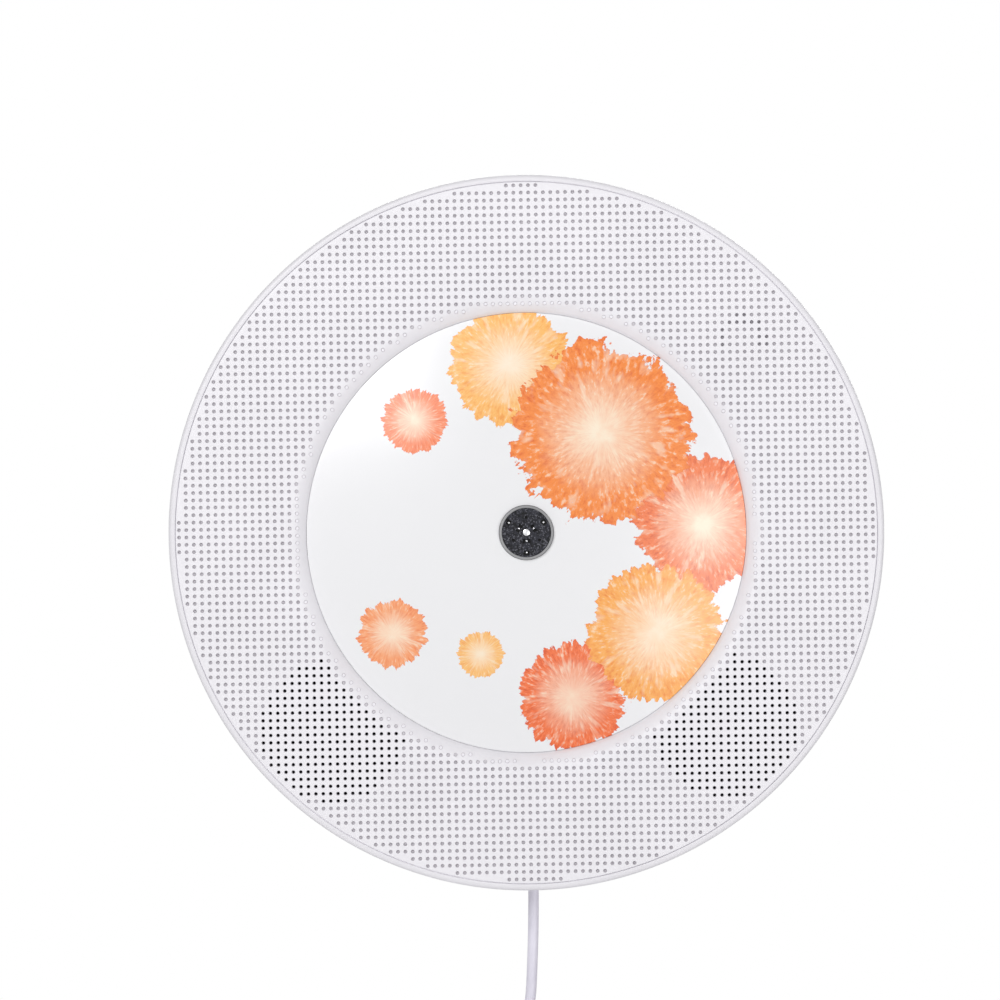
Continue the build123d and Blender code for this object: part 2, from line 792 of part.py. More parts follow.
# ---------------------------------------------------------------- boards
with BuildPart() as main_board:
    with BuildSketch(at_depth(board_back)):
        with Locations((0, 56)):
            RectangleRounded(72, 42, 3)
    extrude(amount=board_wall)
keep(main_board.part, "main_board")

board_front = board_back + board_wall
with BuildPart() as board_parts:
    for across, height, width, tall, proud in (
        (-16, 57, 12, 12, 1.8),
        (6, 59, 9, 9, 1.6),
        (20, 49, 7, 5, 1.6),
        (-4, 43, 16, 5, 6.0),
        (27, 62, 8, 12, 5.0),
    ):
        with BuildSketch(at_depth(board_front)):
            with Locations((across, height)):
                Rectangle(width, tall)
        extrude(amount=proud)
    with BuildSketch(at_depth(board_front)):
        with Locations((-29, 65), (-29, 53)):
            Circle(3.15)
    extrude(amount=11)
keep(board_parts.part, "board_parts")

with BuildPart() as button_board:
    with BuildSketch(upright(button_board_top - board_wall)):
        with Locations((0, -(button_board_back + 6.5))):
            Rectangle(60, 13)
    extrude(amount=board_wall)
keep(button_board.part, "button_board")

switch_top = button_board_top + 3.4
plunger_top = switch_top + 0.8
with BuildPart() as tact_switches:
    with BuildSketch(upright(button_board_top)):
        with Locations(*[(x, -button_depth) for x in button_places]):
            Rectangle(6, 6)
    extrude(amount=3.4)
    with BuildSketch(upright(switch_top)):
        with Locations(*[(x, -button_depth) for x in button_places]):
            Rectangle(2.4, 2.4)
    extrude(amount=0.8)
keep(tact_switches.part, "tact_switches")

button_names = ("power", "source", "back", "play", "next")
cap_bottom = plunger_top + button_travel + 0.1
for name, x in zip(button_names, button_places):
    with BuildPart() as button_cap:
        with BuildSketch(upright(cap_bottom)):
            with Locations((x, -button_depth)):
                SlotOverall(button_width, button_depth_size)
        extrude(amount=14)
        with BuildSketch(upright(cap_bottom)):
            with Locations((x, -button_depth)):
                Rectangle(button_width + 2, button_depth_size + 2)
        extrude(amount=1.4)
        with BuildSketch(at_depth(0)):
            Circle(side_radius(button_depth) + button_proud)
        extrude(amount=front_depth, mode=Mode.INTERSECT)
    keep(button_cap.part, f"{name}_button")

sensor_board_depth = panel_back - 6
with BuildPart() as sensor_board:
    with BuildSketch(at_depth(sensor_board_depth)):
        with Locations((sensor_across, sensor_height)):
            RectangleRounded(15, 15, 2)
    extrude(amount=-1.2)
keep(sensor_board.part, "sensor_board")

with BuildPart() as infrared_receiver:
    with BuildSketch(at_depth(sensor_board_depth)):
        with Locations((sensor_across, sensor_height)):
            Rectangle(6, 6)
    extrude(amount=3.2)
    with BuildSketch(at_depth(sensor_board_depth + 3.2)):
        with Locations((sensor_across, sensor_height)):
            Circle(2.4)
    extrude(amount=1.8, taper=20)
keep(infrared_receiver.part, "infrared_receiver")

# ---------------------------------------------------------------- headphone jack
with BuildPart() as headphone_jack:
    with BuildSketch(upright(jack_mouth + 5.5)):
        with Locations((jack_across, -lead_depth)):
            Rectangle(8, 10)
    extrude(amount=11)
    with BuildSketch(upright(jack_mouth)):
        with Locations((jack_across, -lead_depth)):
            Circle(collar_radius)
    extrude(amount=6)
    with BuildSketch(upright(jack_mouth)):
        with Locations((jack_across, -lead_depth)):
            Circle(jack_radius)
    extrude(amount=jack_length, mode=Mode.SUBTRACT)
keep(headphone_jack.part, "headphone_jack")

# ---------------------------------------------------------------- pull switch
head_bottom = guide_top + spring_length
with BuildPart() as cord_guide:
    with BuildSketch(upright(guide_bottom)):
        with Locations((lead_exit_across, -lead_depth)):
            Circle(guide_radius)
    extrude(amount=guide_top - guide_bottom)
    with BuildSketch(upright(guide_top - 1.4)):
        with Locations((lead_exit_across, -lead_depth)):
            Circle(5.6)
    extrude(amount=1.4)
    with BuildSketch(upright(guide_bottom)):
        with Locations((lead_exit_across, -lead_depth)):
            Circle(stem_radius + running_gap)
    extrude(amount=guide_top - guide_bottom, mode=Mode.SUBTRACT)
keep(cord_guide.part, "cord_guide")

with BuildPart() as pull_slider:
    with BuildSketch(upright(guide_bottom)):
        with Locations((lead_exit_across, -lead_depth)):
            Circle(stem_radius)
    extrude(amount=head_bottom - guide_bottom + 0.5)
    with BuildSketch(upright(head_bottom)):
        with Locations((lead_exit_across, -lead_depth)):
            RectangleRounded(10, 10, 1.5)
    extrude(amount=8)
keep(pull_slider.part, "pull_slider")

with BuildPart() as pull_spring:
    with BuildSketch(upright(guide_top)):
        with Locations((lead_exit_across, -lead_depth)):
            Circle(4.3)
            Circle(stem_radius + free_gap, mode=Mode.SUBTRACT)
    extrude(amount=spring_length)
keep(pull_spring.part, "pull_spring")

with BuildPart() as pull_switch:
    with BuildSketch(upright(guide_top + 7.8)):
        with Locations((switch_across, -lead_depth)):
            Rectangle(6.2, 10)
    extrude(amount=12)
    with BuildSketch(upright(guide_top + 15.8)):
        with Locations((switch_across - 3.4, -lead_depth)):
            Rectangle(1.0, 2.4)
    extrude(amount=2)
keep(pull_switch.part, "pull_switch")

# ---------------------------------------------------------------- lead
# The free stretch hangs from the slider's stem, leaning a little to the left, and runs into the coil.
lead_points = [
    (lead_exit_across, guide_bottom),
    (0.5, guide_bottom - 11.5),
    (-0.1, guide_bottom - 24.0),
    (-1.2, guide_bottom - 36.5),
    (-4.4, guide_bottom - 47.0),
    (-10.4, guide_bottom - 53.0),
]
coil_outer = 23.3
coil_pitch = 4.0
layer_pitch = 3.4
half_turns_in_layer = (6, 6, 6, 5)
end_run = lead_diameter


def corner_radii(points):
    """For each corner, an arc as large as its two runs allow."""
    radii = []
    for before, here, after in zip(points, points[1:], points[2:]):
        one = Vector(*here) - Vector(*before)
        two = Vector(*after) - Vector(*here)
        turn = math.radians(one.get_angle(two))
        radii.append(0.45 * min(one.length, two.length) / math.tan(turn / 2))
    return radii


def lead_tube(points):
    """A round tube along (x, y, z) points, with straight runs joined by arcs."""
    radii = corner_radii(points)
    print("lead radii", [round(r, 1) for r in radii])
    with BuildPart() as tube:
        with BuildLine() as route:
            FilletPolyline(*points, radius=radii)
        path = route.wire()
        with BuildSketch(Plane(origin=path @ 0, z_dir=path % 0)) as section:
            RegularPolygon(lead_diameter / 2, lead_sides)
        sweep(section.sketch, path=path)
    share = tube.part.volume / section.sketch.area / path.length
    print("lead length", round(path.length, 1), "volume share", round(share, 4))
    return tube


power_cord = lead_tube([(x, -lead_depth, z) for x, z in lead_points])
keep(power_cord.part, "power_cord")

# The coil: four layers of half turns that spiral in and out again, and a climb where each spiral reverses.
heading = Vector(*lead_points[-1]) - Vector(*lead_points[-2])
heading = Vector(heading.X, 0, heading.Y).normalized()
inward = Vector(-heading.Z, 0, heading.X)
cord_end = Vector(lead_points[-1][0], -lead_depth, lead_points[-1][1])
coil_start = cord_end + heading * end_run
coil_centre = coil_start + inward * coil_outer


def coil_arcs():
    """The coil's arcs in order, each as its start, its end and its tangent at the start."""
    arcs = []
    layer_y = -lead_depth
    side = -1
    radius = coil_outer
    here = coil_start
    tangent = heading
    for layer, half_turns in enumerate(half_turns_in_layer):
        step = -coil_pitch / 2 if layer % 2 == 0 else coil_pitch / 2
        for _ in range(half_turns):
            radius += step
            side = -side
            there = coil_centre + inward * (side * radius)
            there = Vector(there.X, layer_y, there.Z)
            arcs.append((here, there, tangent))
            here = there
            tangent = tangent * -1
        if layer < len(half_turns_in_layer) - 1:
            side = -side
            there = coil_centre + inward * (side * radius)
            there = Vector(there.X, layer_y - layer_pitch, there.Z)
            across = (there - here).normalized()
            reach = (there - here).length / 2
            middle = (here + there) * 0.5 + tangent * reach
            arcs.append((here, middle, tangent))
            arcs.append((middle, there, across))
            here = there
            tangent = tangent * -1
            layer_y -= layer_pitch
    return arcs, here, tangent


arcs, coil_last, coil_heading = coil_arcs()
coil_finish = coil_last + coil_heading * end_run
with BuildPart() as cord_coil:
    with BuildLine() as coil_line:
        Line(cord_end, coil_start)
        for start, end, tangent in arcs:
            TangentArc(start, end, tangent=tangent)
        Line(coil_last, coil_finish)
    with BuildSketch(Plane(origin=cord_end, z_dir=heading)):
        RegularPolygon(lead_diameter / 2, coil_sides)
    sweep()
keep(cord_coil.part, "cord_coil")


def least_self_gap(line, count):
    """The least space between one turn and any other, from points along the line."""
    points = [line @ (i / count) for i in range(count + 1)]
    spacing = line.length / count
    apart = int(3 * lead_diameter * math.pi / spacing)
    least = min(
        (points[i] - points[j]).length
        for i in range(0, count + 1, 2)
        for j in range(i + apart, count + 1)
    )
    return least - lead_diameter


coil_path = coil_line.wire()
print("coil length", round(coil_path.length, 1), "least self gap", round(least_self_gap(coil_path, 1200), 3))

# The tie: a band round the bundle where the lead runs in.
tie_wall = 1.0
tie_width = 5.0
bundle_inner = coil_outer - 3 * coil_pitch - lead_diameter / 2 - free_gap
bundle_outer = coil_outer + lead_diameter / 2 + free_gap
bundle_back = lead_depth - lead_diameter / 2 - free_gap
bundle_front = lead_depth + 3 * layer_pitch + lead_diameter / 2 + free_gap
tie_place = coil_centre - inward * ((bundle_inner + bundle_outer) / 2)
tie_middle = Vector(tie_place.X, -(bundle_back + bundle_front) / 2, tie_place.Z)
with BuildPart() as cord_tie:
    with BuildSketch(Plane(origin=tie_middle - heading * (tie_width / 2), x_dir=inward, z_dir=heading)):
        RectangleRounded(
            bundle_outer - bundle_inner + 2 * tie_wall, bundle_front - bundle_back + 2 * tie_wall, 2.0
        )
        RectangleRounded(bundle_outer - bundle_inner, bundle_front - bundle_back, 1.2, mode=Mode.SUBTRACT)
    extrude(amount=tie_width)
keep(cord_tie.part, "cord_tie")

# The tail hangs down from the tie to the plug.
tail_start = coil_finish
tail_1 = tail_start + coil_heading * 7.0
tail_2 = tail_1 + Vector(-0.38, 0, -0.925) * 9.0
tail_3 = tail_2 + Vector(0.03, 0, -1.0) * 9.0
cord_tail = lead_tube([(p.X, p.Y, p.Z) for p in (tail_start, tail_1, tail_2, tail_3)])
keep(cord_tail.part, "cord_tail")

plug_place = tail_3
plug_length = 20.0
with BuildPart() as plug_body:
    with BuildSketch(upright(plug_place.Z)):
        with Locations((plug_place.X, plug_place.Y)):
            Circle(2.4)
    with BuildSketch(upright(plug_place.Z - 8)):
        with Locations((plug_place.X, plug_place.Y)):
            Circle(3.0)
    loft()
    with BuildSketch(upright(plug_place.Z - 8)):
        with Locations((plug_place.X, plug_place.Y)):
            RectangleRounded(15.5, 7.6, 2.4)
    extrude(amount=-plug_length)
keep(plug_body.part, "plug_body")

with BuildPart() as plug_shell:
    with BuildSketch(upright(plug_place.Z - 8 - plug_length)):
        with Locations((plug_place.X, plug_place.Y)):
            Rectangle(12, 4.5)
            Rectangle(11.4, 3.9, mode=Mode.SUBTRACT)
    extrude(amount=-12)
    with BuildSketch(upright(plug_place.Z - 8 - plug_length)):
        with Locations((plug_place.X, plug_place.Y - 1.0)):
            Rectangle(11.4, 1.9)
    extrude(amount=-11)
keep(plug_shell.part, "plug_shell")
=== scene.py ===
import json
import math

import bmesh
import bpy
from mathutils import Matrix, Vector
from mathutils.geometry import delaunay_2d_cdt


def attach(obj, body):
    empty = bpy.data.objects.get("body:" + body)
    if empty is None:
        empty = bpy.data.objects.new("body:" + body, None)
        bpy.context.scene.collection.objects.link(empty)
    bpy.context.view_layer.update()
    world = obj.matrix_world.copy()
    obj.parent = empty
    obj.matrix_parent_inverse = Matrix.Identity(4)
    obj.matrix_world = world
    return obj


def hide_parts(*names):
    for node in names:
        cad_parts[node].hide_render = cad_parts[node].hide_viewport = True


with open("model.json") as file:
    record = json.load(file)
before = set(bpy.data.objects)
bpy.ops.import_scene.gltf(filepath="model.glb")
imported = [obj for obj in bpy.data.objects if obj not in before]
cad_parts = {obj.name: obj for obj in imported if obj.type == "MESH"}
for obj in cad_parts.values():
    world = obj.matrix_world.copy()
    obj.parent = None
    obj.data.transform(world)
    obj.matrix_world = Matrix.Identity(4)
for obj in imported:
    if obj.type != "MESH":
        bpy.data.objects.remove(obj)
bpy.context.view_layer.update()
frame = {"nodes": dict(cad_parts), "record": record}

# Lengths are in millimetres unless a comment says metres, and MM turns them into metres. A depth is
# measured from the wall towards the room. Places on the face are given as (x, z).
MM = 0.001


def at(x, depth, z):
    """The point in metres."""
    return Vector((x * MM, -depth * MM, z * MM))


def placed(name, data):
    """A new object in the scene."""
    thing = bpy.data.objects.new(name, data)
    bpy.context.scene.collection.objects.link(thing)
    return thing


# ---------------------------------------------------------------- sizes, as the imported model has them
front = 42.0
back = 2.0
seam_depth = 12.0  # of the seam between the rear housing and the side band
body_radius = 97.5
panel_radius = 95.4
panel_back = 40.0
skirt_back = 33.8
skirt_wall = 1.8
well_radius = 60.4
well_wall = 2.0
deck_front = 35.5
lip_width = 5.2
lip_drop = 3.4
lip_start = well_radius + lip_width
disc_radius = 60.0
disc_bore = 7.5
disc_front = 38.7
disc_back = 37.5
hub_front = 39.8

# ---------------------------------------------------------------- camera
pixel = 0.2722  # what a pixel spans at the front face
picture_width = 1000  # in pixels
view_across = -7.06  # the middle of the view, from the player's axis
view_height = 9.0
camera_roll = math.radians(0.889)
camera_distance = 1.2  # in metres, from the front face
sensor_width = 36.0
farthest_seen = 20.0  # in metres

camera_data = bpy.data.cameras.new("camera")
camera_data.sensor_width = sensor_width
camera_data.lens = sensor_width * camera_distance / (picture_width * pixel * MM)
camera_data.clip_end = farthest_seen
camera = placed("camera", camera_data)
camera.location = (view_across * MM, -front * MM - camera_distance, view_height * MM)
camera.rotation_euler = (math.radians(90), camera_roll, 0)
bpy.context.scene.camera = camera

# ---------------------------------------------------------------- light and background
bpy.context.scene.view_settings.view_transform = "Standard"


def backdrop_world(light_strength):
    """White to the camera, in gloss and through glass, and otherwise a plain soft light."""
    world = bpy.data.worlds.new("studio")
    bpy.context.scene.world = world
    world.use_nodes = True
    tree = world.node_tree
    tree.nodes.clear()
    out = tree.nodes.new("ShaderNodeOutputWorld")
    mix = tree.nodes.new("ShaderNodeMixShader")
    seen = tree.nodes.new("ShaderNodeBackground")
    seen.inputs["Color"].default_value = (1, 1, 1, 1)
    seen.inputs["Strength"].default_value = 1.0
    lit = tree.nodes.new("ShaderNodeBackground")
    lit.inputs["Color"].default_value = (1, 1, 1, 1)
    lit.inputs["Strength"].default_value = light_strength
    path = tree.nodes.new("ShaderNodeLightPath")
    share = path.outputs["Is Camera Ray"]
    for ray in ("Is Glossy Ray", "Is Transmission Ray"):
        either = tree.nodes.new("ShaderNodeMath")
        either.operation = "MAXIMUM"
        tree.links.new(share, either.inputs[0])
        tree.links.new(path.outputs[ray], either.inputs[1])
        share = either.outputs[0]
    tree.links.new(share, mix.inputs[0])
    tree.links.new(lit.outputs[0], mix.inputs[1])
    tree.links.new(seen.outputs[0], mix.inputs[2])
    tree.links.new(mix.outputs[0], out.inputs["Surface"])


def area_light(name, place, size, power):
    """A square lamp aimed at the player. Its place and size are in metres and its power in watts."""
    light = bpy.data.lights.new(name, "AREA")
    light.shape = "SQUARE"
    light.size = size
    light.energy = power
    lamp = placed(name, light)
    lamp.location = place
    lamp.rotation_euler = (-Vector(place)).to_track_quat("-Z", "Y").to_euler()


backdrop_world(0.33)
area_light("key", (-0.6, -1.55, 0.6), 0.8, 12.1)
area_light("fill", (0.75, -1.5, -0.35), 0.9, 11.0)
area_light("behind", (0.3, 1.5, 0.7), 1.2, 14.0)


# ---------------------------------------------------------------- materials
def srgb(r, g, b):
    """A colour as it shows, from 0 to 255, as the shader wants it."""

    def linear(c):
        c /= 255
        return c / 12.92 if c <= 0.04045 else ((c + 0.055) / 1.055) ** 2.4

    return (linear(r), linear(g), linear(b), 1.0)


class Shade:
    """A material with a Principled shader and short names for the nodes that feed it."""

    def __init__(self, name, roughness=0.5, metallic=0.0, specular=0.5):
        self.material = bpy.data.materials.new(name)
        self.material.use_nodes = True
        self.tree = self.material.node_tree
        self.shader = self.tree.nodes["Principled BSDF"]
        self.shader.inputs["Roughness"].default_value = roughness
        self.shader.inputs["Metallic"].default_value = metallic
        self.shader.inputs["Specular IOR Level"].default_value = specular
        self.place = self.tree.nodes.new("ShaderNodeTexCoord").outputs["Object"]

    def node(self, kind, **values):
        node = self.tree.nodes.new(kind)
        for key, value in values.items():
            setattr(node, key, value)
        return node

    def link(self, source, target):
        self.tree.links.new(source, target)

    def noise(self, scale, detail=2.0, vector=None, roughness=0.5):
        """scale is in waves per metre."""
        node = self.node("ShaderNodeTexNoise")
        node.inputs["Scale"].default_value = scale
        node.inputs["Detail"].default_value = detail
        node.inputs["Roughness"].default_value = roughness
        self.link(vector or self.place, node.inputs["Vector"])
        return node.outputs["Fac"]

    def voronoi(self, scale, output="Distance"):
        """scale is in cells per metre."""
        node = self.node("ShaderNodeTexVoronoi")
        node.inputs["Scale"].default_value = scale
        self.link(self.place, node.inputs["Vector"])
        return node.outputs[output]

    def stretched(self, x, y, z):
        node = self.node("ShaderNodeMapping")
        node.inputs["Scale"].default_value = (x, y, z)
        self.link(self.place, node.inputs["Vector"])
        return node.outputs["Vector"]

    def spread(self, source, low, high, start=0.3, stop=0.7):
        """Maps source from start..stop onto low..high."""
        node = self.node("ShaderNodeMapRange")
        for key, value in (("From Min", start), ("From Max", stop), ("To Min", low), ("To Max", high)):
            node.inputs[key].default_value = value
        self.link(source, node.inputs["Value"])
        return node.outputs["Result"]

    def maths(self, operation, a, b=0.0, c=0.0):
        node = self.node("ShaderNodeMath", operation=operation)
        for socket, value in zip(node.inputs, (a, b, c)):
            if isinstance(value, (int, float)):
                socket.default_value = value
            else:
                self.link(value, socket)
        return node.outputs[0]

    def vector(self, operation, a, b=None, output="Vector"):
        node = self.node("ShaderNodeVectorMath", operation=operation)
        for socket, value in zip(node.inputs, (a, b)):
            if isinstance(value, tuple):
                socket.default_value = value
            elif value is not None:
                self.link(value, socket)
        return node.outputs[output]

    def blend(self, share, one, two):
        """Mixes two colours by share; a colour is a tuple or an output."""
        node = self.node("ShaderNodeMix", data_type="RGBA")
        for socket, value in ((node.inputs[0], share), (node.inputs[6], one), (node.inputs[7], two)):
            if isinstance(value, (int, float, tuple)):
                socket.default_value = value
            else:
                self.link(value, socket)
        return node.outputs[2]

    def colour(self, source):
        if isinstance(source, tuple):
            self.shader.inputs["Base Color"].default_value = source
        else:
            self.link(source, self.shader.inputs["Base Color"])

    def rough(self, source):
        self.link(source, self.shader.inputs["Roughness"])

    def bump(self, height, strength, distance):
        """distance is in millimetres."""
        node = self.node("ShaderNodeBump")
        node.inputs["Strength"].default_value = strength
        node.inputs["Distance"].default_value = distance * MM
        self.link(height, node.inputs["Height"])
        self.link(node.outputs["Normal"], self.shader.inputs["Normal"])


def moulded(name, colour, roughness, grain=0.02, shift=4):
    """Moulded plastic: a fine spark-eroded grain and a slight unevenness of tone and gloss."""
    shade = Shade(name, roughness)
    darker = srgb(*[max(c - shift, 0) for c in colour])
    shade.colour(shade.blend(shade.spread(shade.noise(60, 3), 0, 1), srgb(*colour), darker))
    shade.rough(shade.spread(shade.noise(700, 2), roughness - 0.03, roughness + 0.03))
    shade.bump(shade.noise(2600, 3, roughness=0.6), 0.5, grain)
    return shade.material


def metal(name, colour, roughness, streak, scale=900, grain=0.01):
    """Bare or plated metal, with streaks along the axes whose factor is small."""
    shade = Shade(name, roughness, metallic=1.0)
    wave = shade.noise(scale, 4, shade.stretched(*streak))
    darker = srgb(*[c * 0.86 for c in colour])
    shade.colour(shade.blend(shade.spread(wave, 0, 1), srgb(*colour), darker))
    shade.rough(shade.spread(wave, roughness - 0.08, roughness + 0.1))
    shade.bump(wave, 0.35, grain)
    return shade.material


def rubbery(name, colour, roughness=0.7, grain=0.03):
    """Rubber, pressed paper or sintered ferrite: dull, with a dusty bloom in places."""
    shade = Shade(name, roughness, specular=0.35)
    dusty = srgb(*[min(c + 14, 255) for c in colour])
    shade.colour(shade.blend(shade.spread(shade.noise(90, 4), 0, 1, 0.45, 0.8), srgb(*colour), dusty))
    shade.rough(shade.spread(shade.noise(400, 2), roughness - 0.08, roughness + 0.08))
    shade.bump(shade.noise(1800, 2), 0.6, grain)
    return shade.material


def circuit_board(name):
    """Green solder mask with faint tracks under it and a few pads."""
    shade = Shade(name, 0.35)
    brick = shade.node("ShaderNodeTexBrick")
    brick.inputs["Scale"].default_value = 260
    brick.inputs["Mortar Size"].default_value = 0.03
    brick.inputs["Color1"].default_value = srgb(22, 92, 54)
    brick.inputs["Color2"].default_value = srgb(26, 104, 60)
    brick.inputs["Mortar"].default_value = srgb(48, 134, 82)
    turn = shade.node("ShaderNodeMapping")
    turn.inputs["Rotation"].default_value = (math.radians(90), 0, 0)
    shade.link(shade.place, turn.inputs["Vector"])
    shade.link(turn.outputs[0], brick.inputs["Vector"])
    pads = shade.spread(shade.voronoi(330), 1, 0, 0.16, 0.2)
    shade.colour(shade.blend(pads, brick.outputs["Color"], srgb(196, 190, 170)))
    shade.bump(brick.outputs["Fac"], 0.4, 0.03)
    return shade.material


def speckled_cap(name):
    """Coarse dark plastic, with pale specks in it."""
    shade = Shade(name, 0.62, specular=0.24)
    cloud = shade.spread(shade.noise(1300, 2), 0, 1, 0.4, 0.6)
    base = shade.blend(cloud, srgb(9, 10, 14), srgb(42, 43, 51))
    grain = shade.noise(2300, 1)
    shade.colour(shade.blend(shade.spread(grain, 0, 1, 0.54, 0.68), base, srgb(96, 96, 104)))
    shade.bump(grain, 0.8, 0.06)
    return shade.material


def cloth_black(name):
    """The black dust cloth behind the open holes."""
    shade = Shade(name, 0.95, specular=0.1)
    weave = shade.noise(5200, 1)
    shade.colour(shade.blend(shade.spread(weave, 0, 1), srgb(12, 12, 14), srgb(34, 34, 38)))
    shade.bump(weave, 0.8, 0.05)
    return shade.material


def lens_glass(name):
    """Coated glass with a faint violet tint."""
    shade = Shade(name, 0.04)
    shade.shader.inputs["Transmission Weight"].default_value = 0.6
    shade.shader.inputs["IOR"].default_value = 1.5
    cloud = shade.spread(shade.noise(900, 1), 0, 1)
    shade.colour(shade.blend(cloud, srgb(150, 160, 205), srgb(176, 170, 215)))
    return shade.material


def sheath(name):
    """Smooth white lead: PVC with a soft shine, slightly uneven."""
    shade = Shade(name, 0.38)
    cloud = shade.spread(shade.noise(130, 3), 0, 1)
    shade.colour(shade.blend(cloud, srgb(232, 229, 241), srgb(224, 221, 234)))
    shade.rough(shade.spread(shade.noise(260, 2), 0.32, 0.46))
    shade.bump(shade.noise(900, 2), 0.3, 0.03)
    return shade.material


def zinc(name):
    """Zinc plate with its faint crystal pattern."""
    shade = Shade(name, 0.42, metallic=1.0)
    crystal = shade.voronoi(420, "Color")
    grey = shade.node("ShaderNodeSeparateColor")
    shade.link(crystal, grey.inputs[0])
    tone = shade.spread(grey.outputs[0], 0, 1, 0, 1)
    fine = shade.blend(tone, srgb(190, 193, 198), srgb(202, 205, 209))
    shade.colour(shade.blend(shade.spread(shade.noise(40, 3), 0, 0.5), fine, srgb(184, 188, 192)))
    shade.rough(shade.spread(grey.outputs[1], 0.38, 0.46, 0, 1))
    shade.bump(shade.noise(1500, 3), 0.3, 0.02)
    return shade.material


def pale_floor(name):
    """Near white, with hardly any cloud in it."""
    shade = Shade(name, 0.8, specular=0.1)
    cloud = shade.spread(shade.noise(6, 3), 0, 1)
    shade.colour(shade.blend(cloud, srgb(246, 246, 246), srgb(243, 243, 243)))
    return shade.material


# The print on the disc: painted blossoms of many thin pleats. Each is (x, z, radius, colour, deeper
# colour), and each lies over those before it.
blossoms = [
    (-4.0, 46.0, 17.0, (253, 190, 104), (240, 140, 52)),
    (48.0, 2.0, 19.0, (244, 128, 74), (206, 66, 30)),
    (21.0, 27.0, 25.0, (248, 142, 62), (220, 84, 26)),
    (12.0, -45.0, 15.0, (246, 120, 66), (208, 68, 34)),
    (35.0, -28.0, 19.0, (252, 176, 88), (236, 118, 40)),
    (-30.0, 31.0, 9.0, (248, 138, 92), (222, 88, 52)),
    (-13.0, -33.0, 6.5, (253, 196, 120), (240, 142, 62)),
    (-37.0, -27.0, 9.5, (250, 164, 112), (232, 108, 60)),
]
cream = (255, 238, 214)


def printed(name):
    """White, with blossoms whose thin pleats run out from the middle and deepen towards the edge."""
    shade = Shade(name, 0.24)
    shade.shader.inputs["Coat Weight"].default_value = 0.25
    shade.shader.inputs["Coat Roughness"].default_value = 0.1
    split = shade.node("ShaderNodeSeparateXYZ")
    shade.link(shade.place, split.inputs[0])
    flat = shade.node("ShaderNodeCombineXYZ")
    shade.link(split.outputs["X"], flat.inputs["X"])
    shade.link(split.outputs["Z"], flat.inputs["Z"])
    wash = shade.noise(95, 4, roughness=0.6)
    paint = srgb(240, 240, 242)
    for number, (x, z, radius, tint, deeper) in enumerate(blossoms):
        away = shade.vector("SUBTRACT", flat.outputs[0], (x * MM, 0, z * MM))
        distance = shade.vector("LENGTH", away, output="Value")
        heading = shade.vector("NORMALIZE", away)
        turned = shade.vector("ADD", heading, (3.7 * number, 0, 1.9 * number))
        drift = shade.node("ShaderNodeCombineXYZ")
        shade.link(shade.maths("MULTIPLY", distance, 26.0), drift.inputs["Y"])
        along = shade.vector("ADD", turned, drift.outputs[0])
        fold = shade.noise(5.5, 3, along)
        pleat = shade.noise(17.0, 4, along, roughness=0.65)
        ragged = shade.maths("ADD", shade.spread(fold, -0.15, 0.06), shade.spread(pleat, -0.05, 0.05))
        edge = shade.maths("MULTIPLY_ADD", ragged, radius * MM, radius * MM)
        share = shade.maths("DIVIDE", distance, edge)
        inside = shade.spread(share, 1, 0, 0.992, 1.004)
        tone = shade.blend(shade.spread(share, 0, 1, 0.1, 0.75), srgb(*cream), srgb(*tint))
        dark = shade.maths("MULTIPLY", shade.spread(pleat, 0, 0.85, 0.5, 0.68), share)
        tone = shade.blend(dark, tone, srgb(*deeper))
        tone = shade.blend(shade.spread(fold, 0.55, 0, 0.32, 0.46), tone, srgb(*cream))
        tone = shade.blend(shade.spread(pleat, 0.6, 0, 0.34, 0.45), tone, srgb(*cream))
        tone = shade.blend(shade.spread(wash, 0, 0.35, 0.45, 0.7), tone, srgb(*tint))
        tone = shade.blend(shade.spread(share, 0, 0.5, 0.975, 0.995), tone, srgb(*deeper))
        paint = shade.blend(inside, paint, tone)
    shade.colour(paint)
    shade.rough(shade.spread(shade.noise(30, 1), 0.22, 0.27))
    return shade.material


def data_side(name):
    """The playing side: silver, with a faint painted rainbow sheen from the centre outwards."""
    shade = Shade(name, 0.12, metallic=0.9)
    away = shade.vector("LENGTH", shade.place, output="Value")
    # painted sheen: tints that change in rings round the centre and in broad patches
    wave = shade.maths("SINE", shade.maths("MULTIPLY", away, 420.0))
    tint = shade.blend(shade.spread(wave, 0, 1, -1, 1), srgb(206, 214, 226), srgb(226, 212, 208))
    shade.colour(shade.blend(shade.spread(shade.noise(40, 2), 0, 0.5), tint, srgb(206, 222, 208)))
    shade.rough(shade.spread(shade.noise(300, 2), 0.1, 0.16))
    return shade.material


def polished(name):
    """A turned and polished shaft end."""
    shade = Shade(name, 0.14, metallic=1.0)
    wave = shade.noise(2600, 3)
    shade.colour(shade.blend(shade.spread(wave, 0, 1), srgb(238, 238, 240), srgb(214, 214, 218)))
    shade.rough(shade.spread(wave, 0.1, 0.2))
    return shade.material


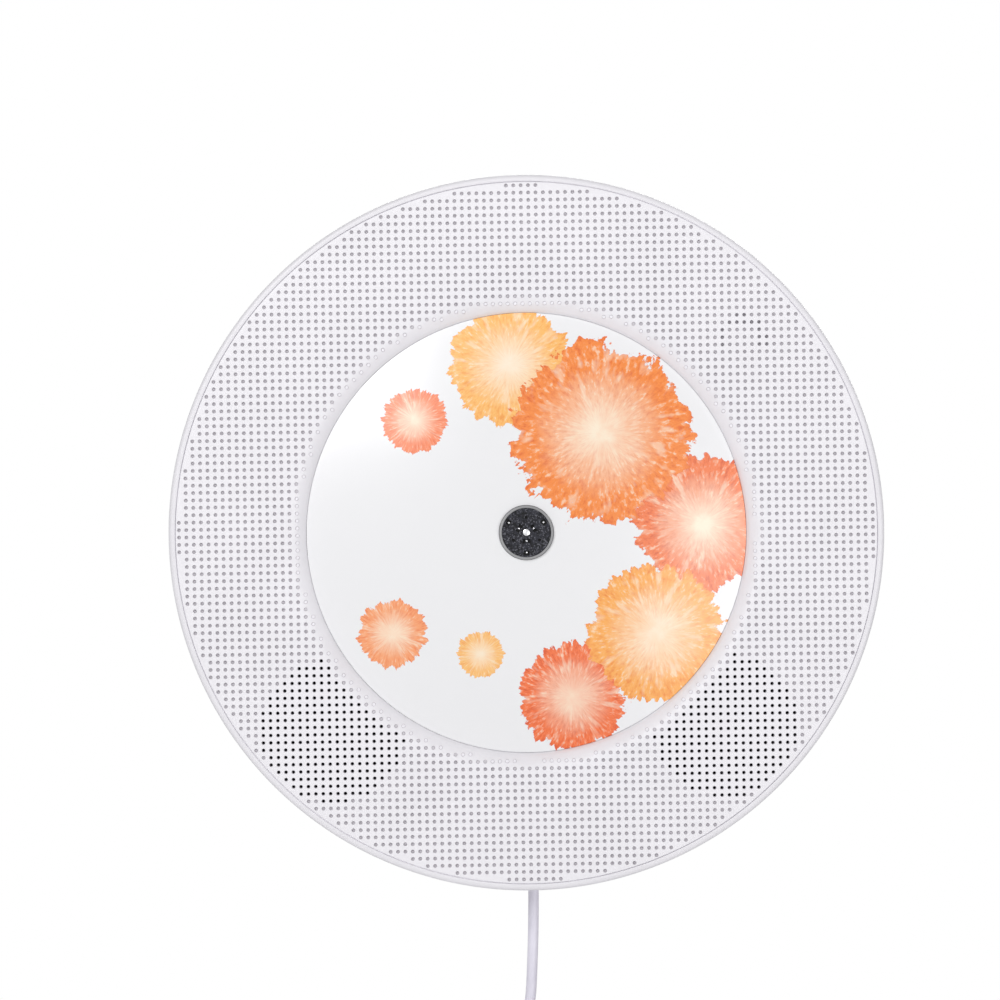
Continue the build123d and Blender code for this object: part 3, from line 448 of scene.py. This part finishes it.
by_slot = {
    "panel_white": moulded("panel_white", (243, 241, 246), 0.42, 0.015, 3),
    "shell_white": moulded("shell_white", (237, 235, 240), 0.4, 0.015, 3),
    "deck_white": moulded("deck_white", (226, 224, 230), 0.6),
    "disc_print": printed("disc_print"),
    "hub_grey": moulded("hub_grey", (156, 156, 158), 0.5, 0.02, 12),
    "hub_black": speckled_cap("hub_black"),
    "steel": metal("steel", (200, 200, 204), 0.24, (1, 0.08, 1)),
    "zinc_plate": zinc("zinc_plate"),
    "motor_can": metal("motor_can", (184, 184, 188), 0.3, (1, 0.1, 1), 500),
    "black_plastic": moulded("black_plastic", (38, 38, 41), 0.55, 0.03, -10),
    "gear_white": moulded("gear_white", (232, 230, 222), 0.45),
    "lens_glass": lens_glass("lens_glass"),
    "board_green": circuit_board("board_green"),
    "chip_black": moulded("chip_black", (32, 32, 34), 0.6, 0.02, -12),
    "rubber_black": rubbery("rubber_black", (34, 34, 36)),
    "rubber_pad": rubbery("rubber_pad", (214, 212, 218), 0.6, 0.04),
    "cone_paper": rubbery("cone_paper", (36, 36, 40), 0.85, 0.08),
    "ferrite": rubbery("ferrite", (58, 58, 62), 0.65, 0.08),
    "button_white": moulded("button_white", (240, 238, 243), 0.36, 0.01, 3),
    "sensor_dark": moulded("sensor_dark", (34, 28, 38), 0.12, 0.004, -8),
    "lead_white": sheath("lead_white"),
    "plug_white": moulded("plug_white", (236, 234, 242), 0.5, 0.025),
    "tie_white": rubbery("tie_white", (230, 228, 234), 0.55, 0.03),
    "spring_steel": metal("spring_steel", (214, 214, 218), 0.2, (1, 1, 6), 300, 0.2),
}
cloth = cloth_black("cloth_black")
# the holes' walls and the deeper holes' floors are greyer than the face: painted shade
painted_hole_shade = moulded("painted_hole_shade", (209, 206, 211), 0.6, 0.01, 6)
# near black for the walls and floors of the cap's pockets, darker than the cap's plastic: painted shade
painted_pocket_shade = rubbery("painted_pocket_shade", (8, 8, 9), 0.8, 0.01)
silver = data_side("data_side")
bright_steel = polished("bright_steel")


# ---------------------------------------------------------------- mesh helpers
def rotated(points, angle):
    """The points, turned round the origin."""
    c, s = math.cos(angle), math.sin(angle)
    return [(x * c - z * s, x * s + z * c) for x, z in points]


def loop_of(radius, count, across=0.0, height=0.0):
    """(x, z) points on a circle."""
    steps = [2 * math.pi * k / count for k in range(count)]
    return [(across + radius * math.cos(a), height + radius * math.sin(a)) for a in steps]


def box_loop(across, height, wide, tall, angle=0.0):
    """(x, z) corners of a rectangle, turned with its middle round the origin."""
    corners = ((-1, -1), (1, -1), (1, 1), (-1, 1))
    return rotated([(across + i * wide / 2, height + j * tall / 2) for i, j in corners], angle)


def turned_rings(work, profile, count, across=0.0, height=0.0, closed=False, material=0):
    """Adds the surface that (radius, depth) points sweep round an axis square to the wall."""
    rings = []
    for radius, depth in profile:
        if radius < 1e-6:
            rings.append([work.verts.new(at(across, depth, height))])
        else:
            loop = loop_of(radius, count, across, height)
            rings.append([work.verts.new(at(x, depth, z)) for x, z in loop])
    pairs = list(zip(rings, rings[1:]))
    if closed:
        pairs.append((rings[-1], rings[0]))
    for one, two in pairs:
        for k in range(count):
            n = (k + 1) % count
            if len(one) == 1:
                corners = (one[0], two[k], two[n])
            elif len(two) == 1:
                corners = (one[k], one[n], two[0])
            else:
                corners = (one[k], one[n], two[n], two[k])
            work.faces.new(corners).material_index = material


def rounded_loop(across, height, wide, tall, corner, count=6):
    """(x, z) points of a rectangle with round corners."""
    points = []
    for number, (i, j) in enumerate(((1, 1), (-1, 1), (-1, -1), (1, -1))):
        middle = (across + i * (wide / 2 - corner), height + j * (tall / 2 - corner))
        for k in range(count + 1):
            angle = math.radians(90) * (number + k / count)
            points.append((middle[0] + corner * math.cos(angle), middle[1] + corner * math.sin(angle)))
    return points


def prism(loop, low, high, upright=False):
    """A bmesh prism on an (x, z) loop between two depths.

    An upright one stands on an (x, depth) loop between two heights."""
    work = bmesh.new()
    if upright:
        ends = [[work.verts.new(at(x, depth, height)) for x, depth in loop] for height in (low, high)]
    else:
        ends = [[work.verts.new(at(x, depth, z)) for x, z in loop] for depth in (low, high)]
    for end in ends:
        work.faces.new(end)
    for k in range(len(loop)):
        n = (k + 1) % len(loop)
        work.faces.new((ends[0][k], ends[0][n], ends[1][n], ends[1][k]))
    return work


def mesh_of(name, work):
    """A new mesh with the bmesh's shape. The bmesh is used up."""
    mesh = bpy.data.meshes.new(name)
    work.to_mesh(mesh)
    work.free()
    return mesh


def carved(base, steps):
    """A bmesh solid with others added to it ("UNION") or cut from it ("DIFFERENCE"), in order."""
    made = []
    for number, (operation, work) in enumerate([("", base)] + steps):
        bmesh.ops.recalc_face_normals(work, faces=work.faces)
        made.append(placed(f"step_{number}", mesh_of(f"step_{number}", work)))
        if number:
            change = made[0].modifiers.new(f"step_{number}", "BOOLEAN")
            change.operation = operation
            change.solver = "EXACT"
            change.object = made[-1]
    graph = bpy.context.evaluated_depsgraph_get()
    mesh = bpy.data.meshes.new_from_object(made[0].evaluated_get(graph))
    result = bmesh.new()
    result.from_mesh(mesh)
    for piece in made:
        old = piece.data
        bpy.data.objects.remove(piece)
        bpy.data.meshes.remove(old)
    bpy.data.meshes.remove(mesh)
    return result


def pocketed_face(work, outer, inner, pockets, surface, extra=(), homes=()):
    """Adds a face between two loops, with pockets sunk into it. surface gives the depth at (x, z).

    A pocket is (loop, rings, material of its walls, that of its floor), and each ring is (scale, drop).
    Its inside goes to work, or to its own bmesh in homes. extra points only make the triangles even."""
    points, faces = [], []
    for loop in [outer] + ([inner] if inner else []) + [pocket[0] for pocket in pockets]:
        start = len(points)
        points += [Vector(p) for p in loop]
        faces.append(list(range(start, start + len(loop))))
    points += [Vector(p) for p in extra]
    flat, _, triangles, origin, _, owners = delaunay_2d_cdt(points, [], faces, 1, 1e-6, True)
    made = {}
    for new, olds in enumerate(origin):
        for old in olds:
            made[old] = new
    verts = [work.verts.new(at(p.x, surface(p.x, p.y), p.y)) for p in flat]
    for triangle, owner in zip(triangles, owners):
        if owner == [0]:
            work.faces.new([verts[i] for i in triangle])
    first = 1 + (1 if inner else 0)
    for number, (loop, rings, wall, floor) in enumerate(pockets):
        home = homes[number] if homes else work
        upper = [verts[made[i]] for i in faces[first + number]]
        if home is not work:
            upper = [home.verts.new(vert.co) for vert in upper]
        middle_x = sum(x for x, _ in loop) / len(loop)
        middle_z = sum(z for _, z in loop) / len(loop)
        top = surface(middle_x, middle_z)
        for scale, drop in rings:
            lower = []
            for x, z in loop:
                x, z = middle_x + (x - middle_x) * scale, middle_z + (z - middle_z) * scale
                lower.append(home.verts.new(at(x, top - drop, z)))
            for k in range(len(loop)):
                n = (k + 1) % len(loop)
                home.faces.new((lower[k], lower[n], upper[n], upper[k])).material_index = wall
            upper = lower
        home.faces.new(upper).material_index = floor


sharp_edge = math.radians(32)  # where two faces meet at more, the edge isn't shaded smooth


def finished(name, work, body, slot_name, nodes, materials=None, closed=True):
    """Turns a bmesh into a shown piece that rides on a body and stands for CAD nodes.

    An open surface keeps its faces' directions; those of a closed one are made to point outwards."""
    bmesh.ops.remove_doubles(work, verts=work.verts, dist=0.0001 * MM)
    if closed:
        bmesh.ops.recalc_face_normals(work, faces=work.faces)
    mesh = mesh_of(name, work)
    mesh.polygons.foreach_set("use_smooth", [True] * len(mesh.polygons))
    mesh.set_sharp_from_angle(angle=sharp_edge)
    piece = placed(name, mesh)
    for material in materials or [by_slot[slot_name]]:
        mesh.materials.append(material)
    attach(piece, body)
    if nodes:
        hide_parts(*nodes)


def arc(radius, depth, size, count, start, stop):
    """(radius, depth) points of a profile, on a circle of a size between two angles in degrees."""
    angles = [math.radians(start + (stop - start) * i / count) for i in range(count + 1)]
    return [(radius + size * math.cos(a), depth + size * math.sin(a)) for a in angles]


# ---------------------------------------------------------------- front panel with its holes
hole_pitch = 2.01
hole_radius = 0.55
hole_sides = 10
grid_across = -0.12  # of the hole nearest to the player's axis
grid_height = 0.12
first_hole_radius = 62.3
fade_radius = 64.9  # the holes nearer to the disc fade out
last_hole_radius = 94.7
speaker_places = ((-53.6, -53.1), (53.4, -53.3))
open_radius = 19.6  # of the field of through holes over each speaker
sensor_place = (59.3, 51.5)
sensor_ring = 6.0
sensor_reach = 1.1  # how far from that ring a hole still counts as over it
ring_count = 360
edge_round = 0.12
panel_edge = 95.5
outer_ring = panel_edge - edge_round  # the holed face lies between the two rings
inner_ring = 61.0
lip_edge = 60.06
lip_across, lip_down = 6.0, 5.28  # half axes of the lip's quarter ellipse
seam_radius = 95.69  # to which the fine seam's floor reaches, just short of the side band
well_outer = well_radius + well_wall

# (scale, drop) of the rings in a hole, from its mouth down
blind_rings = ((0.94, 0.04), (0.47, 0.85))
deep_rings = ((0.94, 0.04), (0.6, 1.4))
open_rings = ((0.9, 0.07), (0.78, 0.35), (0.76, front - panel_back - 0.1))

# places in the front's list of materials
on_face, shaded_hole, behind_hole = 0, 1, 2


def lip_depth(x, z):
    """Depth of the front face at a place: flat, then rolling down to the disc's edge."""
    radius = math.hypot(x, z)
    if radius >= lip_start:
        return front
    share = (lip_start - radius) / lip_across
    return front - lip_down * (1 - math.sqrt(1 - share**2))


def over_speaker(x, z):
    """True for the holes that go right through."""
    near = any(math.hypot(x - u, z - v) < open_radius for u, v in speaker_places)
    return near and math.hypot(x, z) > fade_radius + 0.2


def round_sensor(x, z):
    """True for the holes over the upper part of the sensor's collar."""
    away = math.hypot(x - sensor_place[0], z - sensor_place[1])
    return abs(away - sensor_ring) < sensor_reach and z > sensor_place[1] - 2


def fading_rings(share):
    """Rings of a hole near the disc, which are shallow at share 0 and deeper towards 1."""
    return ((0.92, 0.03), (0.85 - 0.3 * share, 0.15 + 0.5 * share**2))


reach = int(last_hole_radius / hole_pitch) + 1
columns = [grid_across + i * hole_pitch for i in range(-reach, reach + 1)]
rows = [grid_height + j * hole_pitch for j in range(-reach, reach + 1)]
lattice = [(x, z) for x in columns for z in rows]
blind, through = [], []
# hole walls, and the floors of all but the shallowest holes, take the painted hole shade
for x, z in lattice:
    radius = math.hypot(x, z)
    if not first_hole_radius < radius < last_hole_radius:
        continue
    loop = loop_of(min(hole_radius, outer_ring - 0.07 - radius), hole_sides, x, z)
    if over_speaker(x, z):
        through.append((loop, open_rings, shaded_hole, behind_hole))
    elif radius < fade_radius:
        share = (radius - first_hole_radius) / (fade_radius - first_hole_radius)
        blind.append((loop, fading_rings(share), shaded_hole, shaded_hole if share > 0.4 else on_face))
    else:
        blind.append((loop, deep_rings if round_sensor(x, z) else blind_rings, shaded_hole, shaded_hole))

# points between the holes keep the face's triangles even
corners = [(x + hole_pitch / 2, z + hole_pitch / 2) for x, z in lattice]
corners = [p for p in corners if inner_ring + 0.5 < math.hypot(*p) < outer_ring - 0.4]

plate, dimples = bmesh.new(), bmesh.new()
pocketed_face(
    plate,
    loop_of(outer_ring, ring_count),
    loop_of(inner_ring, ring_count),
    through + blind,
    lip_depth,
    corners,
    [plate] * len(through) + [dimples] * len(blind),
)
rolled = [(r, lip_depth(r, 0)) for r in (inner_ring, 60.75, 60.5, 60.28, lip_edge)]
well = [(lip_edge, 38.6), (60.2, 37.9), (well_radius, 37.4), (well_radius, deck_front)]
turned_rings(plate, rolled + well + [(well_outer, deck_front)], ring_count)
edge = [(outer_ring, front)] + arc(outer_ring, front - edge_round, edge_round, 3, 90, 0)
seam = [(panel_edge + 0.1, front - 0.5), (seam_radius, front - 0.54), (seam_radius, front - 1.2)]
skirt_inner = panel_radius - skirt_wall
skirt = [(panel_radius, front - 1.4), (panel_radius, skirt_back), (skirt_inner, skirt_back)]
behind = [(skirt_inner, panel_back), (lip_start, panel_back), (well_outer, panel_back - lip_drop)]
turned_rings(plate, edge + seam + skirt + behind + [(well_outer, deck_front)], ring_count)
finished(
    "perforated_front", plate, "housing", "panel_white", ["front_panel"],
    [by_slot["panel_white"], painted_hole_shade, cloth],
)
finished(
    "blind_holes", dimples, "housing", "panel_white", [],
    [by_slot["panel_white"], painted_hole_shade], closed=False,
)

# ---------------------------------------------------------------- side band, with its windows
seam_outer = 94.35  # the housing's outer radius at the seam
seam_inner = 92.35
rim_inside = 95.7
rim_round = 1.2
step_depth = 33.5  # of the step behind the panel's skirt
step_inner = 94.6
button_places = (-22.0, -11.0, 0.0, 11.0, 22.0)
button_depth = 20.0
button_window = (8.6, 5.0)
lead_depth = 20.0
lead_across = 0.6
guide_window = 4.12  # radius
jack_across = -26.0
jack_window = 3.9
top_cut, bottom_cut = (88, 100), (-100, -86)  # heights between which the windows are cut


def slot_loop(across, middle_depth, wide, tall, count=8):
    """(x, depth) points of a slot with round ends."""
    radius = tall / 2
    reach = wide / 2 - radius
    points = []
    for side in (1, -1):
        for k in range(count + 1):
            angle = math.radians(-90 + 180 * k / count) + (0 if side > 0 else math.pi)
            end = across + side * reach
            points.append((end + radius * math.cos(angle), middle_depth + radius * math.sin(angle)))
    return points


band = bmesh.new()
turned_rings(
    band,
    [(seam_outer - 0.25, seam_depth), (seam_outer + 0.05, seam_depth + 0.3)]
    + [(body_radius, front - rim_round)]
    + arc(body_radius - rim_round, front - rim_round, rim_round, 7, 0, 90)
    + [(rim_inside + 0.15, front), (rim_inside + 0.04, front - 0.05), (rim_inside, front - 0.15)]
    + [(rim_inside, step_depth), (step_inner, step_depth), (seam_inner, seam_depth)],
    ring_count,
    closed=True,
)
windows = [prism(slot_loop(x, button_depth, *button_window), *top_cut, True) for x in button_places]
windows.append(prism(loop_of(guide_window, 40, lead_across, lead_depth), *bottom_cut, True))
windows.append(prism(loop_of(jack_window, 40, jack_across, lead_depth), *bottom_cut, True))
band = carved(band, [("DIFFERENCE", window) for window in windows])
finished("smooth_band", band, "housing", "shell_white", ["side_band"])

# ---------------------------------------------------------------- rear housing
shell_wall = 2.0
back_round = 10.0
round_middle = seam_outer - back_round
tongue_outer, tongue_inner, tongue_end = 92.25, 91.05, 13.6  # it reaches into the side band
recess_width, recess_height, recess_round = 90.0, 56.5, 5.0  # the bracket's
recess_middle = (24.0 - 32.5) / 2
recess_floor = 5.0
slot_middles = ((-23.0, -5.75), (23.0, -5.75))  # of the slots that the bracket's hooks go through
slot_width, slot_height, slot_round = 13.5, 9.5, 0.6
screw_circle = 85.0
screw_places = [
    (screw_circle * math.cos(math.radians(a)), screw_circle * math.sin(math.radians(a)))
    for a in (30, 150, 240, 300)
]
post_radius = 4.8
post_front = 22.0
screw_seat = 16.0
screw_pocket = 3.3  # radius
screw_hole = 1.7

shell = bmesh.new()
turned_rings(
    shell,
    [(0, back)]
    + arc(round_middle, seam_depth, back_round, 12, -90, 0)[:-1]
    + [(seam_outer - 0.03, seam_depth - 0.3), (seam_outer - 0.3, seam_depth)]
    + [(tongue_outer, seam_depth), (tongue_outer, tongue_end)]
    + [(tongue_inner, tongue_end), (tongue_inner, seam_depth)]
    + arc(round_middle, seam_depth, back_round - shell_wall, 8, -33, -90)
    + [(0, back + shell_wall)],
    ring_count,
)

# the recess's floor and the posts are added, then the recess, its slots and the screws' holes are cut
raised_width, raised_height = recess_width + 2 * shell_wall, recess_height + 2 * shell_wall
raised = rounded_loop(0, recess_middle, raised_width, raised_height, recess_round + shell_wall)
recess = rounded_loop(0, recess_middle, recess_width, recess_height, recess_round)
steps = [("UNION", prism(raised, back + 1.0, recess_floor + 2.2))]
for x, z in screw_places:
    steps.append(("UNION", prism(loop_of(post_radius, 32, x, z), back + 1.5, post_front)))
steps.append(("DIFFERENCE", prism(recess, back - 1.0, recess_floor)))
for x, z in slot_middles:
    slot = rounded_loop(x, z, slot_width, slot_height, slot_round)
    steps.append(("DIFFERENCE", prism(slot, recess_floor - 1.0, recess_floor + 3.0)))
for x, z in screw_places:
    pocket, hole = loop_of(screw_pocket, 40, x, z), loop_of(screw_hole, 24, x, z)
    steps.append(("DIFFERENCE", prism(pocket, back - 1.0, screw_seat)))
    steps.append(("DIFFERENCE", prism(hole, screw_seat - 1.0, post_front + 1.0)))
finished("smooth_back", carved(shell, steps), "housing", "shell_white", ["rear_housing"])

# screws in their pockets, heads towards the wall, each turned by another angle
head_back = screw_seat - 2.0
head_radius = 2.8
head_flat = 2.3
screw_radius = 1.5
screw_end = 30.0
screw_profile = [(head_flat, head_back), (head_radius - 0.15, head_back + 0.2)]
screw_profile += [(head_radius, head_back + 0.6), (head_radius, screw_seat)]
screw_profile += [(screw_radius, screw_seat), (screw_radius, screw_end), (0, screw_end)]
cross_arm, cross_half = 1.7, 0.4
cross_rings = ((0.95, -0.1), (0.7, -1.3))
quarter = [(cross_arm, cross_half), (cross_half, cross_half), (cross_half, cross_arm)]
cross = []
for _ in range(4):
    cross += quarter
    quarter = [(-v, u) for u, v in quarter]
screws = bmesh.new()
for number, (x, z) in enumerate(screw_places):
    mark = [(x + u, z + v) for u, v in rotated(cross, 0.5 + 1.1 * number)]
    head = loop_of(head_flat, 40, x, z)
    pocketed_face(screws, head, None, [(mark, cross_rings, 0, 0)], lambda u, v: head_back)
    turned_rings(screws, screw_profile, 40, x, z)
finished("cross_screws", screws, "housing", "steel", ["housing_screws"])

pad_reach = 52.0
pad_radius = 5.0
pad_profile = [(0, 0), (pad_radius - 0.4, 0), (pad_radius - 0.1, 0.15), (pad_radius, 0.5)]
pad_profile += [(pad_radius, back), (0, back)]
pads = bmesh.new()
for z in (pad_reach, -pad_reach):
    for x in (-pad_reach, pad_reach):
        turned_rings(pads, pad_profile, 48, x, z)
finished("round_pads", pads, "housing", "rubber_pad", ["wall_pads"])

# ---------------------------------------------------------------- hub
hub_back = 22.0
hub_radius = 14.0
hub_sides = 96
flange_back = 35.9
sleeve_radius = 4.5
boss_radius = 7.4  # inside the disc's bore
shaft_radius = 1.0
shaft_hole = 1.02
cap_back = 39.1
cap_bed = 6.75  # radius of the boss's recess for the cap
claw_angles = [math.radians(a) for a in (30, 150, 270)]

hub = bmesh.new()
turned_rings(
    hub,
    [(shaft_hole, hub_back), (sleeve_radius, hub_back), (sleeve_radius, flange_back)]
    + [(hub_radius - 0.3, flange_back), (hub_radius, flange_back + 0.2), (hub_radius, disc_back - 0.2)]
    + [(hub_radius - 0.2, disc_back), (boss_radius, disc_back), (boss_radius, hub_front - 0.3)]
    + [(boss_radius - 0.06, hub_front - 0.12), (boss_radius - 0.25, hub_front - 0.02)]
    + [(boss_radius - 0.5, hub_front), (cap_bed + 0.01, hub_front - 0.04), (cap_bed, cap_back)]
    + [(shaft_hole, cap_back)],
    hub_sides,
    closed=True,
)
claw_channel = (5.6, 0, 5.6, 2.3)  # its middle, out from the axis and sideways, then length and width
channels = []
for angle in claw_angles:
    channels.append(("DIFFERENCE", prism(box_loop(*claw_channel, angle), disc_back, cap_back)))
finished("grey_hub", carved(hub, channels), "spindle", "hub_grey", ["spindle_hub"])

# the cap: round each claw a slot and two small ones, a round hole between two claws, and bright pins
cap_face = hub_front - 0.1
cap_radius = 6.7
cap_bore = 1.1
cap_slots = ((5.6, 0, 1.3, 1.5), (2.3, -0.68, 1.1, 0.72), (2.3, 0.68, 1.1, 0.72))
cap_hole, cap_hole_reach = 0.45, 4.1
cap_pins = ((5.45, 0.3, cap_face - 0.12), (2.3, 0.24, cap_face + 0.05))  # place, radius and top
pocket_rings = ((0.92, 0.05), (0.88, 0.5))
in_pocket, on_pin = 1, 2  # places in the cap's list of materials
cap = bmesh.new()
pockets = []
for angle in claw_angles:
    loops = [box_loop(*slot, angle) for slot in cap_slots]
    loops.append(loop_of(cap_hole, 16, *rotated([(cap_hole_reach, 0)], angle + math.pi / 3)[0]))
    # the pockets' walls and floors take the near-black painted shade
    pockets += [(loop, pocket_rings, in_pocket, in_pocket) for loop in loops]
    for reach, size, top in cap_pins:
        pin = [(size, cap_face - 0.5), (size, top - 0.12), (size * 0.75, top - 0.03), (0, top)]
        turned_rings(cap, pin, 16, *rotated([(reach, 0)], angle)[0], material=on_pin)
edge_start = cap_radius - 0.15
pocketed_face(cap, loop_of(edge_start, hub_sides), loop_of(cap_bore, 32), pockets, lambda x, z: cap_face)
rim = [(edge_start, cap_face), (cap_radius - 0.04, cap_face - 0.04), (cap_radius, cap_face - 0.15)]
turned_rings(cap, rim + [(cap_radius, cap_back)], hub_sides)
turned_rings(cap, [(cap_radius, cap_back), (cap_bore - 0.05, cap_back)], hub_sides)
turned_rings(cap, [(cap_bore, cap_face), (1.04, cap_face - 0.06), (shaft_hole, cap_back)], 32)
finished(
    "speckled_cap", cap, "spindle", "hub_black", ["hub_cap"],
    [by_slot["hub_black"], painted_pocket_shade, bright_steel], closed=False,
)

shaft_back = 10.3
shaft = bmesh.new()
turned_rings(
    shaft,
    [(0, shaft_back), (shaft_radius, shaft_back), (shaft_radius, hub_front - 0.25)]
    + [(0.9, hub_front - 0.1), (0.6, hub_front - 0.02), (0, hub_front)],
    48,
)
finished("bright_shaft", shaft, "spindle", "steel", ["spindle_shaft"], [bright_steel])

# ---------------------------------------------------------------- disc
back_edge, front_edge = 0.15, 0.1  # how far the disc's two edges are rounded
disc = bmesh.new()
turned_rings(
    disc,
    [(disc_bore, disc_back), (disc_radius - back_edge, disc_back)]
    + arc(disc_radius - back_edge, disc_back + back_edge, back_edge, 3, -90, 0)
    + arc(disc_radius - front_edge, disc_front - front_edge, front_edge, 3, 0, 90)
    + [(disc_bore + 0.05, disc_front), (disc_bore, disc_front - 0.05)],
    ring_count,
    closed=True,
)
for face in disc.faces:
    if face.calc_center_median().y > -(disc_back + 0.05) * MM:
        face.material_index = 1  # the playing side, towards the wall
finished("printed_disc", disc, "loaded_disc", "disc_print", ["disc"], [by_slot["disc_print"], silver])

# ---------------------------------------------------------------- plug shell, open at its end
shell_across, shell_depth = -21.2, 30.25
shell_end, shell_top = -215.8, -203.8
shell_width, shell_thick = 12.0, 4.5
sheet = 0.3
mouth_top = shell_end + 9.5
window_height = shell_end + 6.0
window_reach = 2.6
window_side = 2.2
mouth_width, mouth_thick = shell_width - 2 * sheet, shell_thick - 2 * sheet
mouth = rounded_loop(shell_across, shell_depth, mouth_width, mouth_thick, sheet, 3)
steps = [("DIFFERENCE", prism(mouth, shell_end - 1, mouth_top, True))]
for side in (-window_reach, window_reach):
    window = box_loop(shell_across + side, window_height, window_side, window_side)
    steps.append(("DIFFERENCE", prism(window, shell_depth - 3, shell_depth + 3)))
outside = rounded_loop(shell_across, shell_depth, shell_width, shell_thick, 2 * sheet, 4)
outside = prism(outside, shell_end, shell_top, True)
finished("open_shell", carved(outside, steps), "pull", "steel", ["plug_shell"])
plug_end = ["open_shell", "plug_tongue"]

# the tongue in it, with its four contacts in shallow grooves
contact_places = [shell_across + across for across in (-3.5, -1.0, 1.0, 3.5)]
contact_height = shell_end + 4.6
contact_width, contact_length = 0.9, 6.8
tongue_width, tongue_thick, tongue_round = 11.3, 1.9, 0.2
tongue_loop = rounded_loop(shell_across, shell_depth + 0.9, tongue_width, tongue_thick, tongue_round, 3)
tongue = prism(tongue_loop, shell_end + 0.4, mouth_top, True)
grooves = []
for x in contact_places:
    groove = box_loop(x, contact_height, contact_width + 0.2, contact_length + 0.2)
    grooves.append(("DIFFERENCE", prism(groove, shell_depth - 0.4, shell_depth + 0.1)))
finished("plug_tongue", carved(tongue, grooves), "pull", "black_plastic", [])
for number, x in enumerate(contact_places):
    contact = box_loop(x, contact_height, contact_width, contact_length)
    contact = prism(contact, shell_depth, shell_depth + 0.3)
    plug_end.append(f"plug_contact_{number + 1}")
    finished(plug_end[-1], contact, "pull", "steel", [], [bright_steel])

# ---------------------------------------------------------------- lead
# It hangs down past the view's edge, is wound in a coil of four layers, and ends in the plug.
lead_diameter = 2.9
lead_bevel = 1.5  # to the corners of its section, whose flats lie nearer
hanging = [
    Vector((lead_across, -lead_depth, -95.0)),
    Vector((0.5, -lead_depth, -106.5)),
    Vector((-0.05, -lead_depth, -119.0)),
    Vector((-0.75, -lead_depth, -131.5)),
    Vector((-4.4, -lead_depth, -142.0)),
    Vector((-10.4, -lead_depth, -148.0)),
]
coil_outer = 23.3
coil_pitch = 4.0
layer_pitch = 3.4
half_turns_in_layer = (6, 6, 6, 5)
points_in_half_turn = 8

heading = (hanging[-1] - hanging[-2]).normalized()
inward = Vector((-heading.z, 0, heading.x))
coil_start = hanging[-1] + heading * lead_diameter
coil_centre = coil_start + inward * coil_outer


def coil_points():
    """Control points of the coil: spirals in and out, and a climb of half a turn between them."""
    step = math.pi / points_in_half_turn
    grow = 1 / math.cos(step / 2)
    turned, radius, y = 0.0, coil_outer, 0.0
    points = []
    for layer, half_turns in enumerate(half_turns_in_layer):
        change = -coil_pitch / 2 if layer % 2 == 0 else coil_pitch / 2
        runs = [(change, 0.0)] * half_turns
        if layer < len(half_turns_in_layer) - 1:
            runs.append((0.0, -layer_pitch))
        for wider, climb in runs:
            for k in range(points_in_half_turn):
                share = (k + 0.5) / points_in_half_turn
                angle = turned + math.pi * share
                reach = (radius + wider * share) * grow
                place = coil_centre + (heading * math.sin(angle) - inward * math.cos(angle)) * reach
                points.append(place + Vector((0, y + climb * share, 0)))
            turned += math.pi
            radius += wider
            y += climb
    last = coil_centre - inward * radius + Vector((0, y, 0))
    return points, last


turns, coil_last = coil_points()
tail = [coil_last + heading * lead_diameter]
turning, falling = Vector((-0.38, 0, -0.925)), Vector((0.03, 0, -1.0))
for direction, run in ((heading, 7.0), (turning, 9.0), (falling, 9.0)):
    tail.append(tail[-1] + direction * run)
route = hanging + [coil_start] + turns + tail

line = bpy.data.curves.new("white_lead", "CURVE")
line.dimensions = "3D"
line.resolution_u = 5
line.bevel_depth = lead_bevel * MM
line.bevel_resolution = 5
line.use_fill_caps = True
spline = line.splines.new("NURBS")
spline.points.add(len(route) - 1)
for point, place in zip(spline.points, route):
    point.co = (*(place * MM), 1.0)
spline.order_u = 3
spline.use_endpoint_u = True
line.materials.append(by_slot["lead_white"])
lead = placed("white_lead", line)
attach(lead, "pull")
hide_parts("power_cord", "cord_coil", "cord_tail")

# ---------------------------------------------------------------- CAD nodes that are shown as they are
slot_of = {part["node"]: part["material_slot"] for part in frame["record"]["subparts"]}
for name, node in frame["nodes"].items():
    node.data.materials.clear()
    node.data.materials.append(by_slot[slot_of[name]])

# the width of the broken edges on the CAD nodes that show from outside
broken_edges = {
    "power_button": 0.3,
    "source_button": 0.3,
    "back_button": 0.3,
    "play_button": 0.3,
    "next_button": 0.3,
    "hub_claw_1": 0.1,
    "hub_claw_2": 0.1,
    "hub_claw_3": 0.1,
    "deck_plate": 0.15,
    "wall_bracket": 0.15,
    "headphone_jack": 0.12,
    "cord_guide": 0.2,
    "cord_tie": 0.25,
    "plug_body": 0.35,
}
for name, width in broken_edges.items():
    joined = frame["nodes"][name].modifiers.new("joined", "WELD")
    joined.merge_threshold = 0.001 * MM
    bevel = frame["nodes"][name].modifiers.new("broken_edges", "BEVEL")
    bevel.width = width * MM
    bevel.segments = 2
    bevel.limit_method = "ANGLE"
    bevel.angle_limit = math.radians(40)
    bevel.harden_normals = True

# ---------------------------------------------------------------- floor
floor_height = -250.0
floor_radius = 1000.0
ground = bmesh.new()
bmesh.ops.create_circle(ground, cap_ends=True, segments=96, radius=floor_radius * MM)
floor = placed("floor", mesh_of("floor", ground))
floor.location = (0, 0, floor_height * MM)
floor.data.materials.append(pale_floor("floor"))
